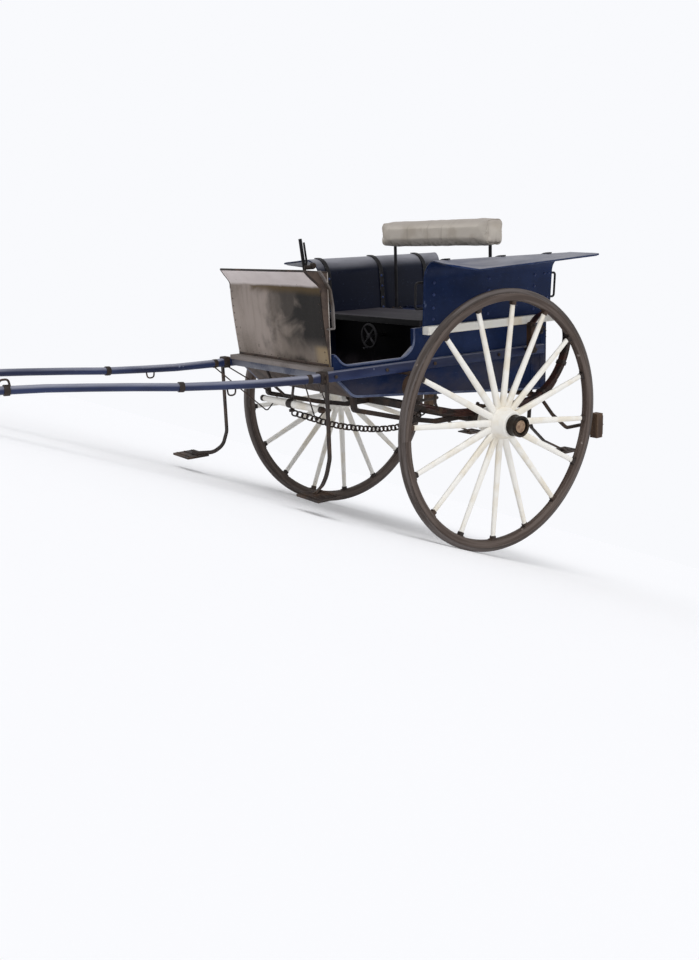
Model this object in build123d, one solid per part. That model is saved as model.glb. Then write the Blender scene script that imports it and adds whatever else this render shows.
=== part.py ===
from build123d import *
import math
import os

# Two-wheeled carriage for one horse, with seats back to back, on its shafts.
# Millimetres. Every piece is first drawn with the carriage level: x is forward,
# y is to the left, z is up, and the middle of the axle is at nought. At the end
# all of it is tipped nose down until the shaft tips reach the floor.

# Wheels
WHEEL_RADIUS = 680
WHEEL_TRACK = 1469          # between the outer faces of the two tyres
CAMBER = 1.2                # degrees that each wheel leans out at its top
TYRE_WIDTH = 34
TYRE_DEPTH = 24
FELLOE_WIDTH = 38
FELLOE_DEPTH = 38
SPOKE_COUNT = 16
SPOKE_WIDTH = 38            # seen from the side
SPOKE_THICK = 28
LEFT_SPOKE = 17              # degrees forward of upright at which a spoke stands
RIGHT_SPOKE = 0.4
DISH = 10                   # the spokes start this much further in than the rim
NAVE_RADIUS = 84
NAVE_IN = 118               # from the rim's middle to the inner end of the nave
NAVE_OUT = 78               # from the rim's middle to the outer end of the nave
CAP_RADIUS = 57
CAP_LENGTH = 60
CAP_WALL = 13
CAP_RECESS = 16
DISC_THICK = 6

# Axle
AXLE_SQUARE = 42
ARM_RADIUS = 21
ARM_GAP = 0.5               # between the axle arm and the bore of the nave
COLLAR_RADIUS = 38
COLLAR_LENGTH = 14
COLLAR_GAP = 0.6

# Body of the carriage
BODY_HALF = 440             # outer face of the side boards
BOARD = 20                  # thickness of the side boards
BODY_REAR = -590
SEAT_FRONT = 290            # front edge of the side panels and of the front seat
FOOTWELL_FRONT = 740
TOE_X = 850
TOE_Z = 300
FLOOR_FRONT_Z = 190
FLOOR_REAR_Z = 75
DOORWAY_Z = 355             # top of the low side boards where one steps in
BOX_TOP = 500
FLOOR_THICK = 18
LID_THICK = 24

# Side panels with their wings
PANEL_THICK = 10
PANEL_REAR = -620
PANEL_BOTTOM = 500
PANEL_LEAN = 14             # how far out the panel is at the foot of its bend
WING_Z = 818                # underside of the wing
WING_BEND = 95
WING_HALF = 750
WING_SAG = ((-740, 6), (-160, 31), (190, 44), (360, 16))    # x, droop of the outer edge
WING_TIP_FRONT = 360
WING_TIP_REAR = -700
RAIL_WIDTH = 45
RAIL_DEPTH = 42
RAIL_REAR = -650
RIB_XS = (-490, -150, 230)
RIB_WIDTH = 26
RIB_THICK = 6
HANDLE_ROD = 6
HANDLE_REACH = 46

# Shafts, with the sills that they run into
SILL_WIDTH = 44
SILL_GAP = 1                # between the side boards and the sills
SHAFT_HALF = BODY_HALF + SILL_GAP + SILL_WIDTH / 2      # to the sill's middle
SILL_DEPTH = 48
SILL_Z = 312

# Dash
DASH_HALF = BODY_HALF - 18
DASH_THICK = 14
DASH_FOOT_X = 858
DASH_FOOT_Z = 352
DASH_TOP_X = 905
DASH_BEND_Z = 745
DASH_LIP_X = 962
DASH_LIP_Z = 815

# Backrest
BACK_X = -212
BACK_HALF = 468
BACK_LOW = 880
BACK_HIGH = 1022
BACK_THICK = 124
POST_X = -220
POST_HALF = BODY_HALF - 40
POST_RADIUS = 9

# Springs: arched to the front, and in a C behind that carries a leather brace
SPRING_Y = SHAFT_HALF + 65
SPRING_WIDTH = 44
SPRING_LEAF = 9
SPRING_FRONT = 420          # middle of the front eye
SPRING_EYE_Z = 140
C_LOW_X = -325              # where the C begins
C_LOW_RADIUS = 350
C_TURN = 190                # degrees, where the wide bend becomes the narrow one
C_HIGH_RADIUS = 150
C_END = 35
BRACE_PIN_Z = 352

# Bar that the horse pulls on
TREE_X = 815
TREE_Z = 120
TREE_HALF = 285
TREE_RADIUS = 21
TREE_BOLT = 8
TREE_BOLT_GAP = 0.5
GUARD_GAP = 100             # between the two legs of the loop round each end of the bar
GUARD_DROP = 50             # from the bar's middle down to the foot of the loop

# Tailboard, shut against the rear of the body
TAIL_THICK = 22
TAIL_GAP = 6
TAIL_HALF = BODY_HALF - 8
TAIL_HEIGHT = 375
TAIL_PIN = 9
TAIL_PIN_GAP = 0.5


def block(xs, ys, zs):
    # A box between two values of x, two of y and two of z
    size = [abs(b - a) for a, b in (xs, ys, zs)]
    middle = [(a + b) / 2 for a, b in (xs, ys, zs)]
    return Pos(*middle) * Box(*size)


def slab(outline, ys):
    # A flat outline of (x, z) points, carried from one y to the other
    wire = Polyline(*[(x, ys[0], z) for x, z in outline], close=True)
    return extrude(make_face(wire), amount=ys[1] - ys[0], dir=(0, 1, 0))


def cross_slab(outline, xs):
    # A flat outline of (y, z) points, carried from one x to the other
    wire = Polyline(*[(xs[0], y, z) for y, z in outline], close=True)
    return extrude(make_face(wire), amount=xs[1] - xs[0], dir=(1, 0, 0))


def plan_slab(outline, zs):
    # A flat outline of (x, y) points, carried from one z to the other
    wire = Polyline(*[(x, y, zs[0]) for x, y in outline], close=True)
    return extrude(make_face(wire), amount=zs[1] - zs[0], dir=(0, 0, 1))


def ribbon(points, thick):
    # The outline of a strip of even thickness along a run of points
    left = []
    right = []
    last = len(points) - 1
    for i, (a, b) in enumerate(points):
        before = points[max(i - 1, 0)]
        after = points[min(i + 1, last)]
        ends = []
        for p, q in ((before, (a, b)), ((a, b), after)):
            length = math.hypot(q[0] - p[0], q[1] - p[1])
            if length > 0:
                ends.append(((q[0] - p[0]) / length, (q[1] - p[1]) / length))
        along = (sum(e[0] for e in ends), sum(e[1] for e in ends))
        size = math.hypot(*along)
        normal = (-along[1] / size, along[0] / size)
        across = -ends[0][1] * normal[0] + ends[0][0] * normal[1]
        half = thick / 2 / across
        left.append((a + normal[0] * half, b + normal[1] * half))
        right.append((a - normal[0] * half, b - normal[1] * half))
    return left + right[::-1]


def rod(points, radius, bend=0):
    # A round bar along a run of points, with its corners rounded to a bend
    if len(points) == 2:
        path = Line(*points)
    elif bend:
        path = FilletPolyline(*points, radius=bend)
    else:
        path = Polyline(*points)
    start = Plane(origin=path @ 0, z_dir=path % 0)
    return sweep(start * Circle(radius), path=path, transition=Transition.RIGHT)


def flat_bar(points, width, thick, bend, across):
    # A bar of oblong section along a run of points; its width lies along across
    path = FilletPolyline(*points, radius=bend) if len(points) > 2 else Line(*points)
    start = Plane(origin=path @ 0, z_dir=path % 0, x_dir=across)
    return sweep(start * Rectangle(width, thick), path=path)


def both_sides(shape):
    # The piece and its mirror image on the other side of the carriage
    return shape + mirror(shape, Plane.XZ)


def pin_y(x, z, radius, ys):
    # A round pin that lies across the carriage
    length = ys[1] - ys[0]
    return Pos(x, (ys[0] + ys[1]) / 2, z) * Rot(90, 0, 0) * Cylinder(radius, length)


pieces = {}

# Rim plane of each wheel, its hub line, and how a wheel is set on the axle
rim_y = WHEEL_TRACK / 2 - TYRE_WIDTH / 2
hub_axis = (0, math.cos(math.radians(CAMBER)), -math.sin(math.radians(CAMBER)))


def turned(outline):
    # A ring shape from an outline of (distance out along y, radius) points
    wire = Polyline(*[(r, y, 0) for y, r in outline], close=True)
    return revolve(make_face(wire), axis=Axis.Y)


def set_on_axle(shape):
    return Pos(0, rim_y, 0) * Rot(-CAMBER, 0, 0) * shape


# Tyre, felloe, spokes with nave, and cap, drawn for the left with its outer face at +y
felloe_out = WHEEL_RADIUS - TYRE_DEPTH
felloe_in = felloe_out - FELLOE_DEPTH
half_tyre = TYRE_WIDTH / 2
half_felloe = FELLOE_WIDTH / 2
tyre_edge = 7
tyre = turned([
    (-half_tyre, felloe_out), (half_tyre, felloe_out),
    (half_tyre, WHEEL_RADIUS - tyre_edge), (half_tyre - tyre_edge, WHEEL_RADIUS),
    (tyre_edge - half_tyre, WHEEL_RADIUS), (-half_tyre, WHEEL_RADIUS - tyre_edge),
])
felloe = turned([
    (-half_felloe, felloe_in + 5), (5 - half_felloe, felloe_in), (half_felloe - 5, felloe_in),
    (half_felloe, felloe_in + 5), (half_felloe, felloe_out), (-half_felloe, felloe_out),
])
bore = ARM_RADIUS + ARM_GAP
nave_band = NAVE_RADIUS - 16
nave = turned([
    (-NAVE_IN, bore), (-NAVE_IN, nave_band), (-NAVE_IN + 30, NAVE_RADIUS - 6),
    (-DISH - SPOKE_THICK, NAVE_RADIUS), (-DISH + SPOKE_THICK, NAVE_RADIUS),
    (NAVE_OUT - 18, nave_band + 3), (NAVE_OUT, nave_band - 4), (NAVE_OUT, bore),
])
spoke_root = NAVE_RADIUS - 4
spoke_top = felloe_in + 3
SPOKE_SIZES = ((spoke_root, -DISH, 1.0), (350, -DISH / 2, 0.88), (spoke_top, 0, 0.72))
spoke = loft([
    Plane(origin=(0, out, height), z_dir=(0, 0, 1))
    * RectangleRounded(SPOKE_WIDTH * share, SPOKE_THICK * share, 8 * share)
    for height, out, share in SPOKE_SIZES
], ruled=True)


def spoked(first):
    # The nave with its spokes, one of which stands at the given angle
    shape = nave
    for i in range(SPOKE_COUNT):
        shape += Rot(0, first + 360 / SPOKE_COUNT * i, 0) * spoke
    return shape - felloe


cap_end = NAVE_OUT + CAP_LENGTH
cap = turned([
    (NAVE_OUT, bore + 6), (NAVE_OUT, CAP_RADIUS - 3), (cap_end - 10, CAP_RADIUS),
    (cap_end, CAP_RADIUS - 6), (cap_end, CAP_RADIUS - CAP_WALL),
    (cap_end - CAP_RECESS, CAP_RADIUS - CAP_WALL),
    (cap_end - CAP_RECESS, 0), (cap_end - CAP_RECESS - 12, 0),
    (cap_end - CAP_RECESS - 12, bore + 6),
])
disc = turned([
    (cap_end - CAP_RECESS, 0), (cap_end - CAP_RECESS, CAP_RADIUS - CAP_WALL - 8),
    (cap_end - CAP_RECESS + DISC_THICK, CAP_RADIUS - CAP_WALL - 12),
    (cap_end - CAP_RECESS + DISC_THICK, 0),
])
wheel_pieces = {"tyre": tyre, "felloe": felloe, "hub_cap": cap, "hub_disc": disc}
for name, shape in wheel_pieces.items():
    placed = set_on_axle(shape)
    pieces["left_" + name] = placed
    pieces["right_" + name] = mirror(placed, Plane.XZ)
pieces["left_spokes"] = set_on_axle(spoked(LEFT_SPOKE))
pieces["right_spokes"] = mirror(set_on_axle(spoked(RIGHT_SPOKE)), Plane.XZ)

# Axle: a square bar between the wheels, with a round arm and a collar at each end
collar_y = -NAVE_IN - COLLAR_GAP
arm_end = cap_end - CAP_RECESS - 12 - 4
arm = turned([(collar_y - COLLAR_LENGTH, 0), (collar_y - COLLAR_LENGTH, COLLAR_RADIUS),
              (collar_y, COLLAR_RADIUS), (collar_y, ARM_RADIUS), (arm_end, ARM_RADIUS), (arm_end, 0)])
arm = set_on_axle(arm)
beam_half = rim_y - NAVE_IN - COLLAR_GAP - COLLAR_LENGTH / 2
half_square = AXLE_SQUARE / 2
axle = block((-half_square, half_square), (-beam_half, beam_half), (-half_square, half_square))
pieces["axle"] = axle + both_sides(arm)

# Shafts: a square sill along the body, then round wood that tapers to its tip.
# Columns: x, how much nearer the middle than the sill, height, radius
SHAFT_TAPER = (
    (900, 3, 310, 23),
    (1250, 33, 318, 22),
    (1650, 67, 346, 20),
    (2050, 101, 388, 19),
    (2400, 129, 415, 18.5),
    (2650, 145, 418, 18),
    (2840, 153, 411, 16.5),
)
SHAFT_STATIONS = [(x, SHAFT_HALF - inset, z, r) for x, inset, z, r in SHAFT_TAPER]
rounds = [Plane(origin=(x, y, z), z_dir=(1, 0, 0)) * Circle(r) for x, y, z, r in SHAFT_STATIONS]
shaft = loft(rounds, ruled=True)
tip_x, tip_y, tip_z, tip_r = SHAFT_STATIONS[-1]
half_ball = Sphere(tip_r) & block((0, 60), (-60, 60), (-60, 60))
shaft += Pos(tip_x, tip_y, tip_z) * half_ball
sill_in = SHAFT_HALF - SILL_WIDTH / 2
sill_out = SHAFT_HALF + SILL_WIDTH / 2
sill_low = SILL_Z - SILL_DEPTH / 2
sill = block((BODY_REAR + 40, 960), (sill_in, sill_out), (sill_low, sill_low + SILL_DEPTH))
front_edges = sill.faces().sort_by(Axis.X)[-1].edges()
shaft += chamfer(front_edges, 12)
pieces["left_shaft"] = shaft
pieces["right_shaft"] = mirror(shaft, Plane.XZ)
both_shafts = both_sides(shaft)

# Cross bar in front of the toe board, between the shafts
cross_low = SILL_Z - 17
cross_high = SILL_Z + 17
cross_bar = block((TOE_X, 905), (-sill_in, sill_in), (cross_low, cross_high)) - both_shafts
pieces["front_crossbar"] = cross_bar

# Side boards of the body, low at the doorway, with the sloping bottom edge
floor_slope = (FLOOR_FRONT_Z - FLOOR_REAR_Z) / (FOOTWELL_FRONT - BODY_REAR)


def bottom_at(x):
    return FLOOR_REAR_Z + (x - BODY_REAR) * floor_slope


side_outline = [
    (BODY_REAR, FLOOR_REAR_Z), (FOOTWELL_FRONT, FLOOR_FRONT_Z), (TOE_X, TOE_Z),
    (TOE_X, 412), (838, 412), (790, DOORWAY_Z), (420, DOORWAY_Z), (352, 406), (352, BOX_TOP - 6),
    (SEAT_FRONT, BOX_TOP - 6), (SEAT_FRONT, BOX_TOP), (BODY_REAR, BOX_TOP),
]
side_board = slab(side_outline, (BODY_HALF - BOARD, BODY_HALF))
pieces["left_side_board"] = side_board
pieces["right_side_board"] = mirror(side_board, Plane.XZ)
inner_half = BODY_HALF - BOARD

# Floor along the bottom, toe board, board under the front seat and rear board
floor = slab([
    (BODY_REAR + BOARD, bottom_at(BODY_REAR + BOARD)),
    (FOOTWELL_FRONT, FLOOR_FRONT_Z),
    (FOOTWELL_FRONT, FLOOR_FRONT_Z + FLOOR_THICK),
    (BODY_REAR + BOARD, bottom_at(BODY_REAR + BOARD) + FLOOR_THICK),
], (-inner_half, inner_half))
pieces["floor_board"] = floor
toe = slab([
    (FOOTWELL_FRONT, FLOOR_FRONT_Z), (TOE_X, TOE_Z), (TOE_X, TOE_Z + 28),
    (FOOTWELL_FRONT, FLOOR_FRONT_Z + 26),
], (-inner_half, inner_half))
pieces["toe_board"] = toe
heel_x = 200
heel_low = bottom_at(heel_x) + FLOOR_THICK
heel = slab([
    (heel_x, heel_low), (heel_x + BOARD, bottom_at(heel_x + BOARD) + FLOOR_THICK),
    (heel_x + BOARD, BOX_TOP), (heel_x, BOX_TOP),
], (-inner_half, inner_half))
pieces["heel_board"] = heel
rear = block((BODY_REAR, BODY_REAR + BOARD), (-inner_half, inner_half), (FLOOR_REAR_Z, BOX_TOP))
pieces["rear_board"] = rear

# Rails along the outside, on top of which the side panels stand
rail_in = BODY_HALF
rail_z = (BOX_TOP - RAIL_DEPTH, BOX_TOP)
rail = block((RAIL_REAR, SEAT_FRONT), (rail_in, rail_in + RAIL_WIDTH), rail_z)
pieces["left_rail"] = rail
pieces["right_rail"] = mirror(rail, Plane.XZ)

# Side panels: a sheet that stands on the rail, bends outward and runs out as a wing
panel_in = BODY_HALF + 2
foot = (panel_in + PANEL_THICK / 2, PANEL_BOTTOM)
bend_start = (foot[0] + PANEL_LEAN, WING_Z + PANEL_THICK / 2 - WING_BEND)
lean = math.atan2(PANEL_LEAN, bend_start[1] - foot[1])


def wing_curve(share):
    # A quarter bend from the leaning panel to the level wing
    turn = lean + share * (math.pi / 2 - lean)
    radius = WING_BEND / (1 - math.sin(lean))
    y = bend_start[0] + radius * (math.cos(lean) - math.cos(turn))
    z = bend_start[1] + radius * (math.sin(turn) - math.sin(lean))
    return y, z


bend_points = [wing_curve(i / 8) for i in range(1, 9)]
wing_edge_y, wing_top = bend_points[-1]
slices = []
for x, sag in WING_SAG:
    sheet = [foot, bend_start] + bend_points + [(WING_HALF, wing_top - sag)]
    outline = Polyline(*[(x, y, z) for y, z in ribbon(sheet, PANEL_THICK)], close=True)
    slices.append(make_face(outline))
panel = loft(slices, ruled=True)
plan = [
    (PANEL_REAR, panel_in - 5), (SEAT_FRONT, panel_in - 5), (SEAT_FRONT, bend_start[0] + 12),
    (SEAT_FRONT + 12, wing_edge_y - 20), (WING_TIP_FRONT, WING_HALF + 5),
    (WING_TIP_REAR, WING_HALF + 5), (PANEL_REAR - 40, wing_edge_y - 10),
    (PANEL_REAR, bend_start[0] + 12),
]
panel = panel & plan_slab(plan, (PANEL_BOTTOM, WING_Z + 60))
pieces["left_panel"] = panel
pieces["right_panel"] = mirror(panel, Plane.XZ)

# Ribs inside the panels, and a D-shaped handle at each end of them
inside = PANEL_THICK / 2 + RIB_THICK / 2 + 0.1
rib_bend = (bend_start[0] - inside * math.cos(lean), bend_start[1] + inside * math.sin(lean))
rib_low = PANEL_BOTTOM - 4
rib_line = [(rib_bend[0] - (rib_bend[1] - rib_low) * math.tan(lean), rib_low), rib_bend]
for i in range(1, 9):
    y, z = wing_curve(i / 8)
    turn = lean + i / 8 * (math.pi / 2 - lean)
    rib_line.append((y - inside * math.cos(turn), z + inside * math.sin(turn)))
rib_line.append((wing_edge_y + 12, rib_line[-1][1]))
irons = None
for x in RIB_XS:
    rib = cross_slab(ribbon(rib_line, RIB_THICK), (x - RIB_WIDTH / 2, x + RIB_WIDTH / 2))
    irons = rib if irons is None else irons + rib
HANDLES = ((PANEL_REAR, -1), (SEAT_FRONT, 1))
handle_ends = []
for z in (588, 718):
    on_panel = foot[0] + (z - PANEL_BOTTOM) * math.tan(lean)
    handle_ends.append((on_panel - PANEL_THICK / 2 - HANDLE_ROD - 1, z))
(low_y, low_z), (high_y, high_z) = handle_ends
for x, way in HANDLES:
    far = x + way * HANDLE_REACH
    near = x - way * 40
    corners = [(near, low_y, low_z), (far, low_y, low_z), (far, high_y, high_z), (near, high_y, high_z)]
    grip = rod(corners, HANDLE_ROD, 14)
    for y, z in handle_ends:
        grip += block((near - 12, near + 12), (y - 3, y + HANDLE_ROD + 3), (z - 9, z + 9)) - panel
    irons += grip
irons = irons & block((-900, 900), (0, 900), (PANEL_BOTTOM, 1000))
pieces["left_panel_irons"] = irons
pieces["right_panel_irons"] = mirror(irons, Plane.XZ)

# Seats: the front one rests on the body behind its front edge, the rear one has a lid
seat_half = panel_in - 8
front_seat = block((-120, SEAT_FRONT + 12), (-seat_half, seat_half), (BOX_TOP, BOX_TOP + 30))
pieces["front_seat"] = front_seat
rear_seat = block((PANEL_REAR + 8, -320), (-seat_half, seat_half), (BOX_TOP, BOX_TOP + LID_THICK))
pieces["rear_seat"] = rear_seat
seat_bridge = block((-320, -120), (-seat_half, seat_half), (BOX_TOP, BOX_TOP + 16))
pieces["middle_board"] = seat_bridge

# Backrest: two iron posts with feet, joined inside the padded roll
post = rod([(POST_X, POST_HALF, BOX_TOP + 16), (POST_X, POST_HALF, BACK_LOW + 60)], POST_RADIUS)
post_foot = block((POST_X - 35, POST_X + 35), (POST_HALF - 16, POST_HALF + 16), (BOX_TOP + 16, BOX_TOP + 24))
pieces["backrest_posts"] = both_sides(post + post_foot)
cushion = Pos(BACK_X, 0, (BACK_LOW + BACK_HIGH) / 2) * Box(BACK_THICK, 2 * BACK_HALF, BACK_HIGH - BACK_LOW)
cushion = fillet(cushion.edges().filter_by(Axis.Y), 40)
for end_face in (cushion.faces().sort_by(Axis.Y)[0], cushion.faces().sort_by(Axis.Y)[-1]):
    cushion = fillet(end_face.edges(), 18)
pieces["backrest_cushion"] = cushion - pieces["backrest_posts"]

# Dash: an upright sheet on a ledge over the cross bar, bent forward at its top
dash_line = [(DASH_FOOT_X, DASH_FOOT_Z), (DASH_TOP_X, DASH_BEND_Z), (926, 786), (DASH_LIP_X, DASH_LIP_Z)]
dash = slab(ribbon(dash_line, DASH_THICK), (-DASH_HALF, DASH_HALF))
ledge = block((TOE_X, 912), (-sill_in + 1, sill_in - 1), (cross_high, DASH_FOOT_Z))
pieces["dash"] = dash - ledge
pieces["dash_foot"] = ledge

# Side irons of the dash: flat strips that stand behind its edges, with a turned-in foot
DASH_IRON = ((905, 806), (880, 770), (848, 715), (836, 640), (834, 534))
iron = slab(ribbon(DASH_IRON, 7), (DASH_HALF, DASH_HALF + 20))
iron += block((834, 872), (DASH_HALF, DASH_HALF + 20), (530, 537))
pieces["dash_irons"] = both_sides(max(iron.solids(), key=lambda s: s.volume))

# Springs: leaves that lie on the axle, arched to the front eye. Behind, the longest
# two run back and round in a C, wide at first and then narrow.
spring_ys = (SPRING_Y - SPRING_WIDTH / 2, SPRING_Y + SPRING_WIDTH / 2)
half_square = AXLE_SQUARE / 2
# Columns: how far the leaf reaches to the front, and the angle where its C ends.
# Angles run from 270 at the foot of the C, down to its end above.
LEAVES = ((1.0, C_END), (0.8, 110), (0.6, 160), (0.4, 225))
main_z = half_square + (len(LEAVES) - 0.5) * SPRING_LEAF
rise = SPRING_EYE_Z - main_z
arch_radius = (SPRING_FRONT ** 2 + rise ** 2) / (2 * rise)


def on_arc(middle, radius, degrees):
    turn = math.radians(degrees)
    return middle[0] + radius * math.cos(turn), middle[1] + radius * math.sin(turn)


low_middle = (C_LOW_X, main_z + C_LOW_RADIUS)
high_middle = on_arc(on_arc(low_middle, C_LOW_RADIUS, C_TURN), C_HIGH_RADIUS, C_TURN - 180)


def leaf_line(drop, reach, end):
    # Middle line of one leaf that lies the given distance below the longest one
    line = []
    arch = (0, main_z + arch_radius)
    full = math.degrees(math.asin(SPRING_FRONT / arch_radius)) * reach
    for i in range(9):
        line.append(on_arc(arch, arch_radius + drop, 270 + full * (8 - i) / 8))
    wide_end = max(end, C_TURN)
    count = round((270 - wide_end) / 8)
    for i in range(count + 1):
        line.append(on_arc(low_middle, C_LOW_RADIUS + drop, 270 - (270 - wide_end) * i / count))
    if end < C_TURN:
        count = round((C_TURN - end) / 12)
        for i in range(1, count + 1):
            line.append(on_arc(high_middle, C_HIGH_RADIUS + drop, C_TURN - (C_TURN - end) * i / count))
    return line


spring = None
for i, (reach, end) in enumerate(LEAVES):
    one = slab(ribbon(leaf_line(i * SPRING_LEAF, reach, end), SPRING_LEAF), spring_ys)
    spring = one if spring is None else spring + one
EYE_RADIUS = 15
spring += pin_y(SPRING_FRONT, SPRING_EYE_Z, EYE_RADIUS, spring_ys)
end_x, end_z = on_arc(high_middle, C_HIGH_RADIUS, C_END)
spring += pin_y(end_x, end_z, 11, spring_ys)
spring += block((-48, 48), (spring_ys[0] - 6, spring_ys[1] + 6), (half_square, main_z + 18))
pieces["left_spring"] = spring
pieces["right_spring"] = mirror(spring, Plane.XZ)

# Hangers: a plate under the sill that reaches out, and a half round scroll to the front eye
HANGER_THICK = 10
plate_low = sill_low - HANGER_THICK
scroll_low = SPRING_EYE_Z + EYE_RADIUS - 4
scroll_mid = (plate_low + 3 + scroll_low) / 2
scroll_out = (plate_low + 3 - scroll_low) / 2
hanger = block((SPRING_FRONT - 32, SPRING_FRONT + 32), (sill_in, spring_ys[1]), (plate_low, sill_low))
ring = Pos(SPRING_FRONT, SPRING_Y, scroll_mid) * Rot(90, 0, 0) * (
    Cylinder(scroll_out, SPRING_WIDTH) - Cylinder(scroll_out - HANGER_THICK, SPRING_WIDTH))
hanger += ring & block((SPRING_FRONT - 4, SPRING_FRONT + 200), (0, 700), (0, 400))
pieces["spring_hangers"] = both_sides(hanger - spring)

# Leather braces: from the upper end of each C down to a pin that stands out of the sill
brace_x = end_x
brace_pin = pin_y(brace_x, BRACE_PIN_Z - 30, 9, (sill_out, spring_ys[1] + 8))
brace_pin += pin_y(brace_x, BRACE_PIN_Z - 30, 15, (spring_ys[1] + 2, spring_ys[1] + 8))
pieces["brace_pins"] = both_sides(brace_pin)
brace_ys = (spring_ys[0] + 4, spring_ys[1] - 4)
brace = slab([(brace_x - 16, BRACE_PIN_Z - 36), (brace_x + 16, BRACE_PIN_Z - 36),
              (brace_x + 16, end_z + 6), (brace_x - 16, end_z + 6)], brace_ys)
brace += pin_y(brace_x, BRACE_PIN_Z - 30, 17, brace_ys) + pin_y(brace_x, end_z, 17, brace_ys)
brace = brace - spring - brace_pin
brace = max(brace.solids(), key=lambda s: s.volume)
pieces["leather_braces"] = both_sides(brace)

# Stays from the underside of the body down to the axle
STAY_Y = BODY_HALF - 40
stay_top = bottom_at(718)
stay_route = [
    (712, STAY_Y, stay_top - 1), (706, STAY_Y, 120), (600, STAY_Y, 92), (387, STAY_Y, 34),
    (180, STAY_Y, -8), (half_square + 5, STAY_Y, -8),
]
stay = flat_bar(stay_route, 26, 24, 16, (0, 1, 0))
stay = stay - axle - floor - side_board
pieces["axle_stays"] = both_sides(max(stay.solids(), key=lambda s: s.volume))

# Hanger of the bar that the horse pulls on, from the cross bar, with its upright bolt
BAND_RADIUS = TREE_RADIUS + 2.5
NUT_GAP = 5.5
arm_route = [(877, 130, cross_low + 6), (862, 95, 215), (832, 36, TREE_Z + 44), (TREE_X, 0, TREE_Z + 42)]
tree_hanger = both_sides(rod(arm_route, 7, 14)) - cross_bar
washer_low = TREE_Z + BAND_RADIUS + NUT_GAP
nut_high = TREE_Z - BAND_RADIUS - NUT_GAP
tree_hanger += Pos(TREE_X, 0, washer_low + 9) * Cylinder(16, 18)
tree_hanger += Pos(TREE_X, 0, (washer_low + nut_high) / 2) * Cylinder(TREE_BOLT, washer_low - nut_high + 4)
tree_hanger += Pos(TREE_X, 0, nut_high - 6) * Cylinder(15, 12)
pieces["swingletree_hanger"] = tree_hanger

# A loop of rod hangs from each shaft and goes round the end of the bar, which it lets swing
slope = Vector(181, 187, 196).normalized()
aside = Vector(0, 1, 0).cross(slope).normalized() * (GUARD_GAP / 2)
loop_low = Vector(TREE_X, TREE_HALF - 23, TREE_Z) - slope * GUARD_DROP
loop_tops = ((1030, SHAFT_HALF - 14, SILL_Z), (962, SHAFT_HALF - 8, SILL_Z))
guard = rod([loop_tops[0], tuple(loop_low + aside), tuple(loop_low - aside), loop_tops[1]], 3.5, 12)
guard = max((guard - shaft).solids(), key=lambda s: s.volume)
pieces["swingletree_guards"] = both_sides(guard)

# The bar itself: wood that swells to its middle, with an iron band, end irons and hooks
wood_half = TREE_HALF - 22
WOOD_SIZES = ((-wood_half, 15), (-60, TREE_RADIUS), (60, TREE_RADIUS), (wood_half, 15))
wood_rounds = [Plane(origin=(TREE_X, y, TREE_Z), z_dir=(0, 1, 0)) * Circle(r) for y, r in WOOD_SIZES]
wood = loft(wood_rounds, ruled=True)
bolt_hole = Pos(TREE_X, 0, TREE_Z) * Cylinder(TREE_BOLT + TREE_BOLT_GAP, 120)
pieces["swingletree"] = wood - bolt_hole
band = pin_y(TREE_X, TREE_Z, BAND_RADIUS, (-24, 24)) - wood - bolt_hole
end_iron = pin_y(TREE_X, TREE_Z, 17, (wood_half, TREE_HALF))
end_hook = rod([(TREE_X, TREE_HALF - 4, TREE_Z), (TREE_X, TREE_HALF + 22, TREE_Z),
                (TREE_X - 26, TREE_HALF + 30, TREE_Z), (TREE_X - 34, TREE_HALF + 12, TREE_Z)], 4.5, 8)
pieces["swingletree_irons"] = both_sides(end_iron + end_hook) + band

# Chain from the bolt back to the axle, as one thick line here
CHAIN_ROUTE = (
    (TREE_X, 4, nut_high - 17), (760, 60, 52), (620, 84, -8), (480, 96, -44),
    (340, 100, -70), (200, 101, -80), (100, 102, -62), (14, 102, -16),
)
chain_bends = []
for before, at, after in zip(CHAIN_ROUTE, CHAIN_ROUTE[1:], CHAIN_ROUTE[2:]):
    one = Vector(*at) - Vector(*before)
    two = Vector(*after) - Vector(*at)
    turn = math.radians(one.get_angle(two))
    chain_bends.append(0.45 * min(one.length, two.length) / math.tan(turn / 2))
chain_path = FilletPolyline(*CHAIN_ROUTE, radius=chain_bends)
chain_start = Plane(origin=chain_path @ 0, z_dir=chain_path % 0)
chain = sweep(chain_start * Circle(8), path=chain_path)
pieces["chain"] = chain - axle - tree_hanger

# Steps in front and behind: a bent iron with a small plate at its foot
step_y = sill_out + 11
front_step = flat_bar([(932, step_y, SILL_Z + 18), (932, step_y, -75), (958, step_y + 6, -152),
                       (1005, step_y + 34, -190), (1100, step_y + 110, -194)], 22, 10, 80, (0, 1, 0))
front_step += block((1030, 1160), (step_y + 44, step_y + 224), (-210, -199))
pieces["front_steps"] = both_sides(front_step - shaft)
rear_y = BODY_HALF - 35
rear_route = [
    (-527, rear_y, bottom_at(-527) - 1), (-514, rear_y, -90), (-538, rear_y, -145),
    (-635, rear_y, -232), (-800, rear_y, -312),
]
rear_step = flat_bar(rear_route, 22, 9, 26, (0, 1, 0))
rear_tread = block((-880, -760), (rear_y - 60, rear_y + 60), (-322, -314))
for x in (-862, -828, -794):
    for side in (-1, 1):
        slot_ys = (rear_y + side * 9, rear_y + side * 45)
        rear_tread = rear_tread - block((x, x + 20), slot_ys, (-400, -200))
rear_step = rear_step + rear_tread - floor - side_board
pieces["rear_steps"] = both_sides(max(rear_step.solids(), key=lambda s: s.volume))

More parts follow.
